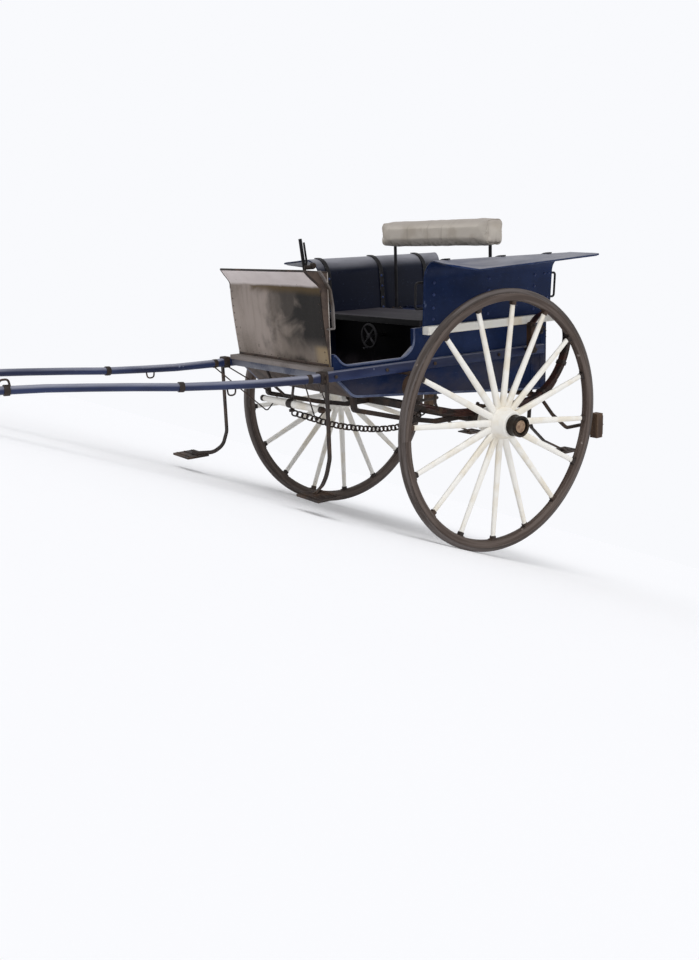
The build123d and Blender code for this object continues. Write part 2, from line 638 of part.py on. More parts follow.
# Brake: a cross shaft under the rear, an arm down to each block, the lever and its rod
BRAKE_X = -500
BRAKE_RADIUS = 15
BRAKE_UNDER_SPRING = 6.7
leaves_radius = C_LOW_RADIUS + (len(LEAVES) - 0.5) * SPRING_LEAF
leaves_low = low_middle[1] - math.sqrt(leaves_radius ** 2 - (BRAKE_X - C_LOW_X) ** 2)
brake_z = leaves_low - BRAKE_UNDER_SPRING
BLOCK_GAP = 34
block_z = -115
block_x = -math.sqrt(WHEEL_RADIUS ** 2 - block_z ** 2) - BLOCK_GAP
block_y = rim_y - 4
cross_half = spring_ys[0] - 7
beam = pin_y(BRAKE_X, brake_z, BRAKE_RADIUS, (-cross_half, cross_half))
brake_hanger_y = BODY_HALF - 110
hanger_half = BRAKE_RADIUS - 1
hanger_x = (BRAKE_X - hanger_half, BRAKE_X + hanger_half)
for y in (-brake_hanger_y, brake_hanger_y):
    beam += block(hanger_x, (y - 14, y + 14), (brake_z, bottom_at(BRAKE_X) + 4))
beam = beam - floor
beam = max(beam.solids(), key=lambda s: s.volume)
arm_y = block_y - 65.5
arm_route = [(BRAKE_X, cross_half - 4, brake_z), (BRAKE_X - 6, spring_ys[1] + 40, -40),
             (BRAKE_X - 60, arm_y - 3, block_z), (block_x - 52, arm_y, block_z),
             (block_x - 52, block_y, block_z)]
brake_arm = rod(arm_route, 10, 24)
beam += both_sides(brake_arm)
pieces["brake_gear"] = beam
shoe = block((block_x - 46, block_x), (block_y - 24, block_y + 24), (block_z - 68, block_z + 68))
shoe = shoe - brake_arm
pieces["brake_blocks"] = both_sides(max(shoe.solids(), key=lambda s: s.volume))
LEVER_RADIUS = 10
lever_y = -(sill_out + LEVER_RADIUS)
lever_route = [(296, lever_y, 240), (350, lever_y, 560), (364, lever_y - 6, 780), (388, lever_y, 945)]
lever = rod(lever_route, LEVER_RADIUS, 60)
prong = rod([(362, lever_y - 6, 770), (346, lever_y - 6, 815), (362, lever_y - 3, 925)], 6, 30)
quadrant = slab([(276, sill_low + 6), (400, sill_low + 6), (400, 336), (386, 424), (326, 424), (276, 336)],
                (lever_y + 1, -sill_out))
brake_rod = rod([(296, lever_y, 246), (BRAKE_X, lever_y, brake_z)], 6)
pieces["brake_lever"] = (lever + prong + quadrant + brake_rod) - beam

# Hand wheel under the front seat, on a screw that comes out of the heel board
HAND_X = 318
HAND_Y = 30
HAND_Z = 428
HAND_RADIUS = 62
heel_face = heel_x + BOARD


def along_x(xs, y, z, radius):
    # A round bar that points forward
    return Pos((xs[0] + xs[1]) / 2, y, z) * Rot(0, 90, 0) * Cylinder(radius, xs[1] - xs[0])


rim = along_x((HAND_X - 6, HAND_X + 6), HAND_Y, HAND_Z, HAND_RADIUS + 6)
rim = rim - along_x((HAND_X - 7, HAND_X + 7), HAND_Y, HAND_Z, HAND_RADIUS - 6)
rim = fillet(rim.edges(), 4)
hub = along_x((HAND_X - 9, HAND_X + 9), HAND_Y, HAND_Z, 13)
arms = None
for i in range(4):
    one = Pos(HAND_X, HAND_Y, HAND_Z) * Rot(45 + 90 * i, 0, 0) * Pos(0, 0, 34) * Box(7, 9, 52)
    arms = one if arms is None else arms + one
hand_wheel = rim + arms + hub
hand_wheel += along_x((heel_face, HAND_X - 9), HAND_Y, HAND_Z, 9)
hand_wheel += along_x((HAND_X, HAND_X + 40), HAND_Y, HAND_Z - HAND_RADIUS, 5.5)
pieces["hand_wheel"] = hand_wheel

# Tailboard, its straps with eyes, and the hinge brackets with their pins
tail_in = BODY_REAR - TAIL_GAP
tail_out = tail_in - TAIL_THICK
pin_x = BODY_REAR - 22
pin_z = FLOOR_REAR_Z - 14
tail_low = pin_z + 20
tailboard = block((tail_out, tail_in), (-TAIL_HALF, TAIL_HALF), (tail_low, tail_low + TAIL_HEIGHT))
pieces["tailboard"] = tailboard
TAIL_HINGES = (-270, 270)
eye = TAIL_PIN + TAIL_PIN_GAP
lug_end = BODY_REAR + 50
lug_outline = [
    (pin_x - 10, pin_z - 12), (lug_end, pin_z - 12), (lug_end, FLOOR_REAR_Z + 10),
    (BODY_REAR, FLOOR_REAR_Z), (pin_x - 10, pin_z + 10),
]
straps = None
brackets = None
for y in TAIL_HINGES:
    strap = block((tail_out - 7, tail_out), (y - 17, y + 17), (pin_z, tail_low + TAIL_HEIGHT - 30))
    strap += pin_y(pin_x, pin_z, 16, (y - 17, y + 17))
    strap = strap - pin_y(pin_x, pin_z, eye, (y - 60, y + 60))
    straps = strap if straps is None else straps + strap
    pin = pin_y(pin_x, pin_z, TAIL_PIN, (y - 44, y + 44))
    for side in (-1, 1):
        inner = y + side * 22
        outer = y + side * 44
        low = min(inner, outer)
        lug = slab(lug_outline, (low, low + 22))
        lug = lug - floor - rear
        pin += lug
    brackets = pin if brackets is None else brackets + pin
pieces["tailboard_straps"] = straps
pieces["tailboard_hinges"] = brackets

# Park it: tip everything nose down about the axle until the shaft tips reach the
# floor that the wheels stand on. The tyre's lowest point and the tip's are both found
# from their middles, because each is round.


def tipped(point, turn):
    x, y, z = point
    return x * math.cos(turn) + z * math.sin(turn), y, z * math.cos(turn) - x * math.sin(turn)


low_turn = math.radians(10)
high_turn = math.radians(40)
for i in range(60):
    park = (low_turn + high_turn) / 2
    _, _, axis_rise = tipped(hub_axis, park)
    wheel_low = -WHEEL_RADIUS * math.sqrt(1 - axis_rise ** 2)
    _, _, tip_low = tipped((tip_x, tip_y, tip_z), park)
    if tip_low - tip_r > wheel_low:
        low_turn = park
    else:
        high_turn = park

tip_all = Rot(0, math.degrees(park), 0)
parked = {name: tip_all * shape for name, shape in pieces.items()}
lows = []
highs = []
for shape in parked.values():
    box = shape.bounding_box()
    lows.append(box.min)
    highs.append(box.max)
centre_x = (min(p.X for p in lows) + max(p.X for p in highs)) / 2
floor_z = min(p.Z for p in lows)
home = Pos(-centre_x, 0, -floor_z)

os.makedirs("parts", exist_ok=True)
for name, shape in parked.items():
    export_step(home * shape, f"parts/{name}.step")

# Where the joints and mounts are on the parked carriage
PLACES = {
    "left hub middle": (0, rim_y, 0),
    "tailboard pin": (pin_x, 0, pin_z),
    "swingletree bolt": (TREE_X, 0, TREE_Z),
    "left trace hook": (TREE_X, TREE_HALF + 22, TREE_Z),
    "left shaft tip": (tip_x + tip_r, tip_y, tip_z),
    "left shaft at tug": SHAFT_STATIONS[4][:3],
    "left front tread top": (1095, step_y + 134, -199),
    "left shaft foot": (tip_x, tip_y, tip_z - tip_r),
}
for name, point in PLACES.items():
    x, y, z = tipped(point, park)
    print(name, [round(v, 3) for v in (x - centre_x, y, z - floor_z)])
print("hub axis", [round(v, 6) for v in tipped(hub_axis, park)])
print("up axis", [round(v, 6) for v in tipped((0, 0, 1), park)])
print("forward axis", [round(v, 6) for v in tipped((1, 0, 0), park)])
print("park angle", round(math.degrees(park), 3), "centre", round(centre_x, 2), "floor", round(floor_z, 3))
print("box", [round(max(getattr(p, a) for p in highs) - min(getattr(p, a) for p in lows), 2) for a in "XYZ"])
print("volume in litres", round(sum(s.volume for s in parked.values()) / 1e6, 1))
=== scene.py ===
"""Looks of a two-wheeled carriage for one horse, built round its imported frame.

New pieces are drawn in millimetres with the carriage level: x is forward, y is to the
left, z is up and the middle of the axle is at nought. Parking tips them as the frame is.
"""

import logging
import math
from collections.abc import Callable, Iterable, Sequence
from dataclasses import dataclass, field
from enum import Enum

import bmesh
import bpy
import numpy as np
from mathutils import Matrix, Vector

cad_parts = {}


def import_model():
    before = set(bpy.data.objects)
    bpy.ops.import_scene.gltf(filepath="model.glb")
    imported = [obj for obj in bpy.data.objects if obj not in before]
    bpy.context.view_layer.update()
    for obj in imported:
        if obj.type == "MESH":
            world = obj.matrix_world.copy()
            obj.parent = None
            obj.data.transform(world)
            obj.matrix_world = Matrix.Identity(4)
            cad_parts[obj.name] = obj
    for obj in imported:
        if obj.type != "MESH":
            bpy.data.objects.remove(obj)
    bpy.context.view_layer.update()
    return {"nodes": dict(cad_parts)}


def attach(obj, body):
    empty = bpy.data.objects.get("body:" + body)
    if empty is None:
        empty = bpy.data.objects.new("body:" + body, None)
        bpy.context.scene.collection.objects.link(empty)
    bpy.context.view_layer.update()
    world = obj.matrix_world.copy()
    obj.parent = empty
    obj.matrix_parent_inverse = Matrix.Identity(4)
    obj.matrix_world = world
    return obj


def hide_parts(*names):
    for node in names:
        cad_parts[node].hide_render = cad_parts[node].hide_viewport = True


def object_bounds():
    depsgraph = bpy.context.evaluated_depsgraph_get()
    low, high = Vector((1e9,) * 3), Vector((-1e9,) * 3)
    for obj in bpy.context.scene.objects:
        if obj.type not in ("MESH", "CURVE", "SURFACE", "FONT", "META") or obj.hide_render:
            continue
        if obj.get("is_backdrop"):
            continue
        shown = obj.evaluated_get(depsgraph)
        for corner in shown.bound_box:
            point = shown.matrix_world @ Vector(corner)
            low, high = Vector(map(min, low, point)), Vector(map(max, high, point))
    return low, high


log = logging.getLogger("carriage")

Array = np.ndarray
Pair = tuple[float, float]
Triple = tuple[float, float, float]
Points = Array | Sequence[Sequence[float]]
Socket = bpy.types.NodeSocket
Value = Socket | float | Triple

MM = 0.001
TINY = 1e-12
SEAM = 2e-6
SHARP = 35.0
FORWARD: Triple = (1, 0, 0)
BACKWARD: Triple = (-1, 0, 0)
TO_LEFT: Triple = (0, 1, 0)
TO_RIGHT: Triple = (0, -1, 0)
UPWARD: Triple = (0, 0, 1)
DOWNWARD: Triple = (0, 0, -1)


def unit(vectors: Array) -> Array:
    """Each vector divided by its own length."""
    vectors = np.asarray(vectors, float)
    return vectors / np.maximum(np.linalg.norm(vectors, axis=-1, keepdims=True), TINY)


def running(points: Array) -> Array:
    """The distance along a run of points up to each of them."""
    steps = np.linalg.norm(np.diff(points, axis=0), axis=1)
    return np.concatenate([[0], np.cumsum(steps)])


def srgb(red: int, green: int, blue: int) -> Triple:
    """A screen colour as the shader's linear one, by the curve of screens.

    Args:
        red: its red, up to 255.
        green: its green, up to 255.
        blue: its blue, up to 255.

    Returns:
        The same colour in three values up to 1.
    """
    share = np.array([red, green, blue]) / 255
    linear = np.where(share > 0.04045, ((share + 0.055) / 1.055) ** 2.4, share / 12.92)
    return tuple(float(v) for v in linear)


@dataclass(frozen=True)
class Parking:
    """How the level carriage is tipped on to its shaft tips."""

    angle: float = math.radians(21.601)
    centre_x: float = 935.81
    floor_z: float = -680.066

    def matrix(self) -> Array:
        """The turn about y that brings the nose down."""
        c, s = math.cos(self.angle), math.sin(self.angle)
        return np.array([[c, 0, s], [0, 1, 0], [-s, 0, c]])

    def place(self, points: Array) -> Array:
        """Level millimetres as metres of the parked carriage: turn, then move and scale."""
        return (points @ self.matrix().T - [self.centre_x, 0, self.floor_z]) * MM

    def turn(self, vector: Sequence[float]) -> Array:
        """A direction of the level carriage as one of the parked carriage."""
        return self.matrix() @ np.asarray(vector, float)

    def nought(self) -> Triple:
        """The parked frame's nought as a place in the level carriage, in metres."""
        return tuple(float(v) for v in self.matrix().T @ [self.centre_x, 0, self.floor_z] * MM)


PARKING = Parking()


class Body(Enum):
    """The frame's bodies that new pieces move with."""

    FRAME = "frame"
    LEFT_WHEEL = "left_wheel"
    RIGHT_WHEEL = "right_wheel"
    TAILBOARD = "rear_flap"


class Side(Enum):
    """The two sides of the carriage, by the sign of y."""

    LEFT = 1
    RIGHT = -1

    @property
    def word(self) -> str:
        """The side's name as pieces have it."""
        return self.name.lower()

    @property
    def wheel(self) -> Body:
        """The body of the wheel on this side."""
        return Body.LEFT_WHEEL if self is Side.LEFT else Body.RIGHT_WHEEL


# Meshes


def as_drawn(points: Array) -> Array:
    """Points left where they are."""
    return points


@dataclass
class Shell:
    """Grids of points that together make one closed mesh, in level millimetres.

    Attributes:
        place: moves each grid's points before they are kept.
    """

    place: Callable[[Array], Array] = as_drawn
    points: list[Array] = field(default_factory=list)
    quads: list[Array] = field(default_factory=list)
    lengths: list[Array] = field(default_factory=list)
    count: int = 0

    def grid(self, points: Array) -> None:
        """Adds a surface; a closed one repeats its first row or column as its last.

        Its UV map is the running length along the rows and along the columns, in metres.

        Args:
            points: rows by columns by three numbers.
        """
        points = self.place(np.asarray(points, float))
        rows, columns = points.shape[:2]
        down = np.linalg.norm(np.diff(points, axis=0), axis=2).mean(1)
        across = np.linalg.norm(np.diff(points, axis=1), axis=2).mean(0)
        u = np.concatenate([[0], np.cumsum(down)]) * MM
        v = np.concatenate([[0], np.cumsum(across)]) * MM
        first = np.arange(rows - 1)[:, None] * columns + np.arange(columns - 1)[None]
        quads = np.stack([first, first + columns, first + columns + 1, first + 1], -1)
        self.points.append(points.reshape(-1, 3))
        self.quads.append(quads.reshape(-1, 4) + self.count)
        self.lengths.append(np.stack(np.meshgrid(u, v, indexing="ij"), -1).reshape(-1, 2))
        self.count += rows * columns

    def cap(self, ring: Array) -> None:
        """Closes a ring of points with faces that meet in its middle."""
        middle = np.broadcast_to(ring[:-1].mean(0), ring.shape)
        self.grid(np.stack([ring, middle]))

    def join(self, other: "Shell") -> "Shell":
        """Adds all that another shell holds.

        Args:
            other: the shell whose grids are taken over.

        Returns:
            This shell.
        """
        self.points += other.points
        self.quads += [quad + self.count for quad in other.quads]
        self.lengths += other.lengths
        self.count += other.count
        return self

    def on(self, side: Side) -> "Shell":
        """A copy of what is drawn for the left, set on one side of the carriage."""
        points = [p * [1, side.value, 1] for p in self.points]
        return Shell(self.place, points, list(self.quads), list(self.lengths), self.count)

    def mirrored(self) -> "Shell":
        """Adds the mirror image of all that is there on the other side of the carriage."""
        return self.join(self.on(Side.RIGHT))

    def build(self, name: str, body: Body, finish: bpy.types.Material, slot: str,
              sharp: float) -> bpy.types.Object:
        """Makes the mesh, merges its seams, turns its faces outward and lets it ride.

        Args:
            name: the piece's name.
            body: the body that it moves with.
            finish: its material.
            slot: the name of that finish's slot; not used.
            sharp: the angle past which an edge stays sharp, in degrees.

        Returns:
            The finished object.
        """
        quads = np.concatenate(self.quads)
        lengths = np.concatenate(self.lengths)
        mesh = bpy.data.meshes.new(name)
        mesh.from_pydata(PARKING.place(np.concatenate(self.points)).tolist(), [], quads.tolist())
        layer = mesh.uv_layers.new(name="length")
        layer.data.foreach_set("uv", lengths[quads.ravel()].astype(np.float32).ravel())
        work = bmesh.new()
        work.from_mesh(mesh)
        bmesh.ops.remove_doubles(work, verts=work.verts, dist=SEAM)
        bmesh.ops.recalc_face_normals(work, faces=work.faces)
        work.to_mesh(mesh)
        work.free()
        mesh.shade_smooth()
        mesh.set_sharp_from_angle(angle=math.radians(sharp))
        mesh.materials.append(finish)
        piece = bpy.data.objects.new(name, mesh)
        bpy.context.scene.collection.objects.link(piece)
        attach(piece, body.value)
        log.info("%s: %d faces", name, len(mesh.polygons))
        return piece


# Sections, each a closed run of (across, along the normal) points


def round_section(radius: float, sides: int = 12) -> Array:
    """A circle."""
    turn = np.linspace(0, 2 * np.pi, sides + 1)
    return radius * np.stack([np.cos(turn), np.sin(turn)], -1)


def box_section(width: float, thick: float, corner: float, steps: int = 3) -> Array:
    """A rectangle whose corners are quarter circles: inner corner + corner (cos, sin).

    Args:
        width: its size across.
        thick: its size along the normal.
        corner: the radius of its corners.
        steps: points on each corner.

    Returns:
        The section's points, the first again as the last.
    """
    turn = np.concatenate([np.linspace(0, np.pi / 2, steps) + k * np.pi / 2 for k in range(4)])
    signs = np.repeat([[1, 1], [-1, 1], [-1, -1], [1, -1]], steps, axis=0)
    inner = signs * [width / 2 - corner, thick / 2 - corner]
    points = inner + corner * np.stack([np.cos(turn), np.sin(turn)], -1)
    return np.concatenate([points, points[:1]])


def blunt_section(half_width: Array, half_height: Array, power: Array, sides: int) -> Array:
    """Sections between a circle (power 2) and a square (a high power), one for each value.

    A point is half_width * sign(cos) * |cos|^(2/power), and the same with the sine.

    Args:
        half_width: half the size across, for each section.
        half_height: half the size along the normal, for each section.
        power: how square each section is.
        sides: points round each section.

    Returns:
        Sections by points by two numbers.
    """
    turn = np.linspace(0, 2 * np.pi, sides + 1)
    bend = 2 / np.asarray(power, float)[:, None]
    c, s = np.cos(turn)[None], np.sin(turn)[None]
    across = np.asarray(half_width)[:, None] * np.sign(c) * np.abs(c) ** bend
    up = np.asarray(half_height)[:, None] * np.sign(s) * np.abs(s) ** bend
    return np.stack([across, up], -1)


# Ways to carry and turn a section


def bent(corners: Points, radius: float, steps: int = 7) -> Array:
    """A run of points whose corners are rounded.

    Near a corner it is (1-t)^2 before + 2t(1-t) corner + t^2 after, with t from 0 to 1.

    Args:
        corners: the run's ends and corners.
        radius: how far from a corner its rounding starts, at most.
        steps: points on each rounded corner.

    Returns:
        The points of the whole run.
    """
    most = 0.45
    corners = np.asarray(corners, float)
    t = np.linspace(0, 1, steps)[:, None]
    run = [corners[:1]]
    for before, at, after in zip(corners, corners[1:], corners[2:]):
        ends = []
        for other in (before, after):
            reach = min(radius, most * float(np.linalg.norm(other - at)))
            ends.append(at + unit(other - at) * reach)
        run.append((1 - t) ** 2 * ends[0] + 2 * t * (1 - t) * at + t**2 * ends[1])
    return np.concatenate(run + [corners[-1:]])


def carry(shell: Shell, path: Points, section: Array, side: Sequence[float],
          caps: bool = True) -> None:
    """Carries a section along a path.

    A point is path + across * side + along * normal, where the normal stands square to
    the path and to side.

    Args:
        shell: where the surface goes.
        path: the points that it follows.
        section: one closed section, or one for each point of the path.
        side: the direction of the section's first number.
        caps: whether its ends are closed.
    """
    path = np.asarray(path, float)
    tangent = unit(np.gradient(path, axis=0))
    normal = unit(np.cross(tangent, np.broadcast_to(side, path.shape)))
    across = np.cross(normal, tangent)
    section = np.broadcast_to(section, (len(path), *section.shape[-2:]))
    rings = path[:, None] + section[..., :1] * across[:, None] + section[..., 1:] * normal[:, None]
    shell.grid(rings)
    if caps:
        shell.cap(rings[0])
        shell.cap(rings[-1])


def lathe(shell: Shell, profile: Points, centre: Sequence[float], axis: Sequence[float],
          sides: int = 24) -> None:
    """Turns a profile about an axis: centre + along * axis + radius * (cos e1 + sin e2).

    Args:
        shell: where the surface goes.
        profile: (along, radius) points; the last repeats the first on a ring shape.
        centre: a point of the axis.
        axis: its direction.
        sides: how many faces go round it.
    """
    profile = np.asarray(profile, float)
    axis = unit(axis)
    helper = UPWARD if abs(axis[2]) < 0.9 else FORWARD
    one = unit(np.cross(axis, helper))
    turn = np.linspace(0, 2 * np.pi, sides + 1)[:, None]
    out = np.cos(turn) * one + np.sin(turn) * np.cross(axis, one)
    rings = np.asarray(centre) + profile[:, None, :1] * axis + profile[:, None, 1:] * out[None]
    shell.grid(np.swapaxes(rings, 0, 1))
    if not np.allclose(profile[0], profile[-1]):
        for ring, radius in ((rings[0], profile[0, 1]), (rings[-1], profile[-1, 1])):
            if radius > 1e-6:
                shell.cap(ring)


def lump(shell: Shell, centre: Sequence[float], half: Sequence[float], corner: float,
         axes: Array | None = None, steps: int = 3) -> None:
    """A block with rounded edges: its inner corner plus corner times a unit direction.

    Args:
        shell: where the surface goes.
        centre: the block's middle.
        half: half its three sizes.
        corner: the radius of its edges.
        axes: three rows, the directions of the sizes.
        steps: points on each rounded edge.
    """
    quarter = np.linspace(0, np.pi / 2, steps)
    around = np.concatenate([quarter + k * np.pi / 2 for k in range(4)] + [[2 * np.pi]])
    sign_x = np.append(np.repeat([1, -1, -1, 1], steps), 1)
    sign_y = np.append(np.repeat([1, 1, -1, -1], steps), 1)
    tilt = np.concatenate([quarter - np.pi / 2, quarter])[:, None]
    sign_z = np.repeat([-1, 1], steps)[:, None]
    flat = np.ones((len(tilt), len(around)))
    inner = [s * (h - corner) * flat for s, h in zip((sign_x, sign_y, sign_z), half)]
    out = [np.cos(tilt) * np.cos(around), np.cos(tilt) * np.sin(around), np.sin(tilt) * flat]
    points = np.stack(inner, -1) + corner * np.stack(out, -1)
    points = points @ (np.eye(3) if axes is None else axes) + np.asarray(centre, float)
    shell.grid(points)
    shell.cap(points[0])
    shell.cap(points[-1])


def thick_sheet(shell: Shell, middle: Array, normal: Array, thick: float) -> None:
    """A sheet of even thickness: its two faces are middle + and - half of it along normal.

    Args:
        shell: where the surfaces go.
        middle: a grid of points half way through the sheet.
        normal: the direction square to it, at each point or everywhere.
        thick: its thickness.
    """
    upper = middle + np.asarray(normal) * thick / 2
    lower = middle - np.asarray(normal) * thick / 2
    shell.grid(upper)
    shell.grid(lower)
    for edge in (np.s_[0], np.s_[-1], np.s_[:, 0], np.s_[:, -1]):
        shell.grid(np.stack([upper[edge], lower[edge]]))


class Head(Enum):
    """Kinds of bolt and rivet heads, as (height, radius) profiles of size one."""

    RIVET = ((-0.2, 1), (0.1, 1), (0.4, 0.8), (0.6, 0.45), (0.66, 0))
    NUT = ((-0.2, 1), (0.7, 1), (0.85, 0.86), (0.85, 0.5), (1.1, 0.45), (1.15, 0))


def heads(shell: Shell, kind: Head, places: Iterable[Sequence[float]], out: Sequence[float],
          size: float) -> None:
    """Adds a bolt or rivet head at each place.

    Args:
        shell: where the surfaces go.
        kind: the heads' shape.
        places: their middles.
        out: the direction in which they stand out.
        size: their radius.
    """
    sides = 6 if kind is Head.NUT else 10
    for place in places:
        lathe(shell, np.array(kind.value) * size, place, out, sides)


# Finishes


class Tree:
    """A material's nodes, added one at a time; each call returns the node's output."""

    def __init__(self, name: str) -> None:
        """Starts an empty material with its Principled shader.

        Args:
            name: the material's name.
        """
        self.material = bpy.data.materials.new(name)
        self.material.use_nodes = True
        self.nodes = self.material.node_tree.nodes
        self.shader = self.nodes["Principled BSDF"]

    def put(self, socket: Socket, value: Value) -> None:
        """Links or sets one input.

        Args:
            socket: the input.
            value: another node's output, a number or a colour.
        """
        if isinstance(value, Socket):
            self.material.node_tree.links.new(value, socket)
        elif socket.type == "RGBA":
            socket.default_value = (*value, 1)
        else:
            socket.default_value = value

    def node(self, kind: str, inputs: dict[str | int, Value], output: int | str = 0,
             **settings: str | int) -> Socket:
        """Adds a node.

        Args:
            kind: its type, without the word ShaderNode.
            inputs: values or outputs of other nodes, by input name or number.
            output: which of its outputs is wanted.
            **settings: its own settings.

        Returns:
            That output.
        """
        made = self.nodes.new("ShaderNode" + kind)
        for key, value in settings.items():
            setattr(made, key, value)
        for key, value in inputs.items():
            self.put(made.inputs[key], value)
        return made.outputs[output]

    def constants(self, **values: float) -> None:
        """Sets constants on the shader's own sockets.

        Args:
            **values: numbers by the socket's name, with _ for a space.
        """
        for name, value in values.items():
            self.shader.inputs[name.replace("_", " ")].default_value = value

    def level(self) -> Socket:
        """Object coordinates brought back to the level carriage, in metres."""
        inputs = {"Vector": self.node("TexCoord", {}, "Object"),
                  "Rotation": (0, -PARKING.angle, 0), "Location": PARKING.nought()}
        return self.node("Mapping", inputs)

    def axis(self, letter: str) -> Socket:
        """One coordinate of the level carriage, in metres."""
        return self.node("SeparateXYZ", {"Vector": self.level()}, letter)

    def length(self) -> Socket:
        """The piece's UV map, which runs in metres."""
        return self.node("TexCoord", {}, "UV")

    def normal(self) -> Socket:
        """The surface's direction on the parked carriage."""
        return self.node("TexCoord", {}, "Normal")

    def facing(self, way: Triple) -> Socket:
        """How far the surface faces a direction of the level carriage, up to 1."""
        return self.dot(self.normal(), tuple(PARKING.turn(way)))

    def dot(self, one: Value, two: Value) -> Socket:
        """How alike two directions are, up to 1."""
        return self.node("VectorMath", {0: one, 1: two}, "Value", operation="DOT_PRODUCT")

    def noise(self, scale: float, stretch: Triple = (1, 1, 1), detail: float = 5,
              at: Socket | None = None, twist: float = 0.0) -> Socket:
        """Cloudy noise from 0 to 1.

        Args:
            scale: its clouds in a metre.
            stretch: below one along an axis where the clouds are drawn out.
            detail: how many finer layers it has.
            at: its coordinates, where they aren't those of the level carriage.
            twist: how far it is distorted.

        Returns:
            The noise.
        """
        at = at or self.level()
        at = self.node("VectorMath", {0: at, 1: stretch}, operation="MULTIPLY")
        inputs = {"Vector": at, "Scale": scale, "Detail": detail, "Distortion": twist}
        return self.node("TexNoise", inputs)

    def step(self, value: Socket, low: float, high: float) -> Socket:
        """A smooth rise from 0 at low to 1 at high."""
        inputs = {"Value": value, "From Min": low, "From Max": high}
        return self.node("MapRange", inputs, interpolation_type="SMOOTHSTEP")

    def spread(self, value: Socket, low: float, high: float) -> Socket:
        """A value from 0 to 1 brought between two others."""
        return self.node("MapRange", {"Value": value, "To Min": low, "To Max": high})

    def maths(self, what: str, one: Value, two: Value = 0.5) -> Socket:
        """Two values worked out together, by the name of a sum."""
        return self.node("Math", {0: one, 1: two}, operation=what)

    def plus(self, one: Value, two: Value) -> Socket:
        """Two values added."""
        return self.maths("ADD", one, two)

    def minus(self, one: Value, two: Value) -> Socket:
        """One value less another."""
        return self.maths("SUBTRACT", one, two)

    def times(self, one: Value, two: Value) -> Socket:
        """Two values multiplied."""
        return self.maths("MULTIPLY", one, two)

    def most(self, one: Value, two: Value) -> Socket:
        """The greater of two values."""
        return self.maths("MAXIMUM", one, two)

    def blend(self, share: Value, one: Value, two: Value) -> Socket:
        """A colour between two others."""
        return self.node("Mix", {0: share, 6: one, 7: two}, 2, data_type="RGBA")

    def rounded(self, radius: float) -> Socket:
        """The surface's direction, with edges rounded to a radius in metres."""
        return self.node("Bevel", {"Radius": radius}, samples=4)

    def edges(self, radius: float) -> Socket:
        """1 near an edge of the shape, 0 away from it."""
        same = self.dot(self.rounded(radius), self.node("NewGeometry", {}, "Normal"))
        return self.minus(1.0, self.step(same, 0.86, 0.995))

    def relief(self, height: Socket, strength: float, depth: float,
               under: Socket | None = None) -> None:
        """Gives the shader a bump.

        Args:
            height: the relief's height, from 0 to 1.
            strength: how much of it shows.
            depth: its depth in metres.
            under: the surface's direction under the bump, where it isn't the plain one.
        """
        inputs = {"Height": height, "Strength": strength, "Distance": depth}
        if under is not None:
            inputs["Normal"] = under
        self.put(self.shader.inputs["Normal"], self.node("Bump", inputs))

    def surface(self, colour: Value, rough: Value) -> None:
        """Gives the shader its colour and its roughness."""
        self.put(self.shader.inputs["Base Color"], colour)
        self.put(self.shader.inputs["Roughness"], rough)


@dataclass(frozen=True)
class Finish:
    """A painted or bare surface that has seen wear.

    Attributes:
        faded: the colour of broad patches.
        under: what shows where it is worn through.
        patch: patches in a metre.
        stretch: how the patches are drawn out along x, y and z.
        grain: fine marks in a metre.
        wear: how much shows at the edges, 0 to 1; on the black iron this is a painted highlight.
        edge: how far the wear reaches from an edge, in metres.
        chips: how much of the surface is chipped, 0 to 1.
        bump: the depth of the fine marks, in metres.
        by_length: whether patterns follow the piece's own length.
        gloss: the shader's specular level.
    """

    name: str
    colour: Triple
    faded: Triple
    under: Triple
    patch: float = 3.5
    stretch: Triple = (1, 1, 1)
    faded_share: float = 0.35
    grain: float = 70
    grain_stretch: Triple = (1, 1, 1)
    wear: float = 0.6
    edge: float = 0.004
    chips: float = 0.2
    rough: tuple[float, float] = (0.35, 0.6)
    metal: float = 0.0
    bump: float = 0.0004
    by_length: bool = False
    gloss: float = 0.3

    def shade(self, tree: Tree, grain: Socket) -> Socket:
        """The surface's colour before edges and chips.

        Args:
            tree: the material's nodes.
            grain: the fine marks.

        Returns:
            A colour output.
        """
        at = tree.length() if self.by_length else None
        middle = 0.62 - 0.24 * self.faded_share
        patches = tree.plus(tree.noise(self.patch, self.stretch, 7, at),
                            tree.spread(grain, -0.07, 0.07))
        share = tree.step(patches, middle - 0.1, middle + 0.12)
        return tree.blend(share, self.colour, self.faded)

    def build(self) -> bpy.types.Material:
        """Makes the material.

        Returns:
            The material, with colour, wear, roughness and bump from its nodes.
        """
        tree = Tree(self.name)
        at = tree.length() if self.by_length else None
        grain = tree.noise(self.grain, self.grain_stretch, 6, at)
        colour = self.shade(tree, grain)
        fine = tree.blend(tree.spread(grain, 0.1, 0.0), colour, (0.0, 0.0, 0.0))
        # edge colour: worn paint, and on the black iron a painted highlight
        edges = tree.times(tree.edges(self.edge), tree.step(tree.noise(38, detail=7), 0.42, 0.58))
        chips = tree.step(tree.noise(23, detail=9),
                          0.74 - 0.16 * self.chips, 0.76 - 0.14 * self.chips)
        worn = tree.most(tree.times(edges, self.wear), tree.times(chips, min(1.0, 6 * self.chips)))
        tree.surface(tree.blend(worn, fine, self.under),
                     tree.spread(tree.most(grain, worn), *self.rough))
        tree.constants(Metallic=self.metal, Specular_IOR_Level=self.gloss)
        tree.relief(tree.minus(grain, tree.times(worn, 0.6)), 0.6, self.bump,
                    tree.rounded(min(self.edge, 0.003)))
        return tree.material


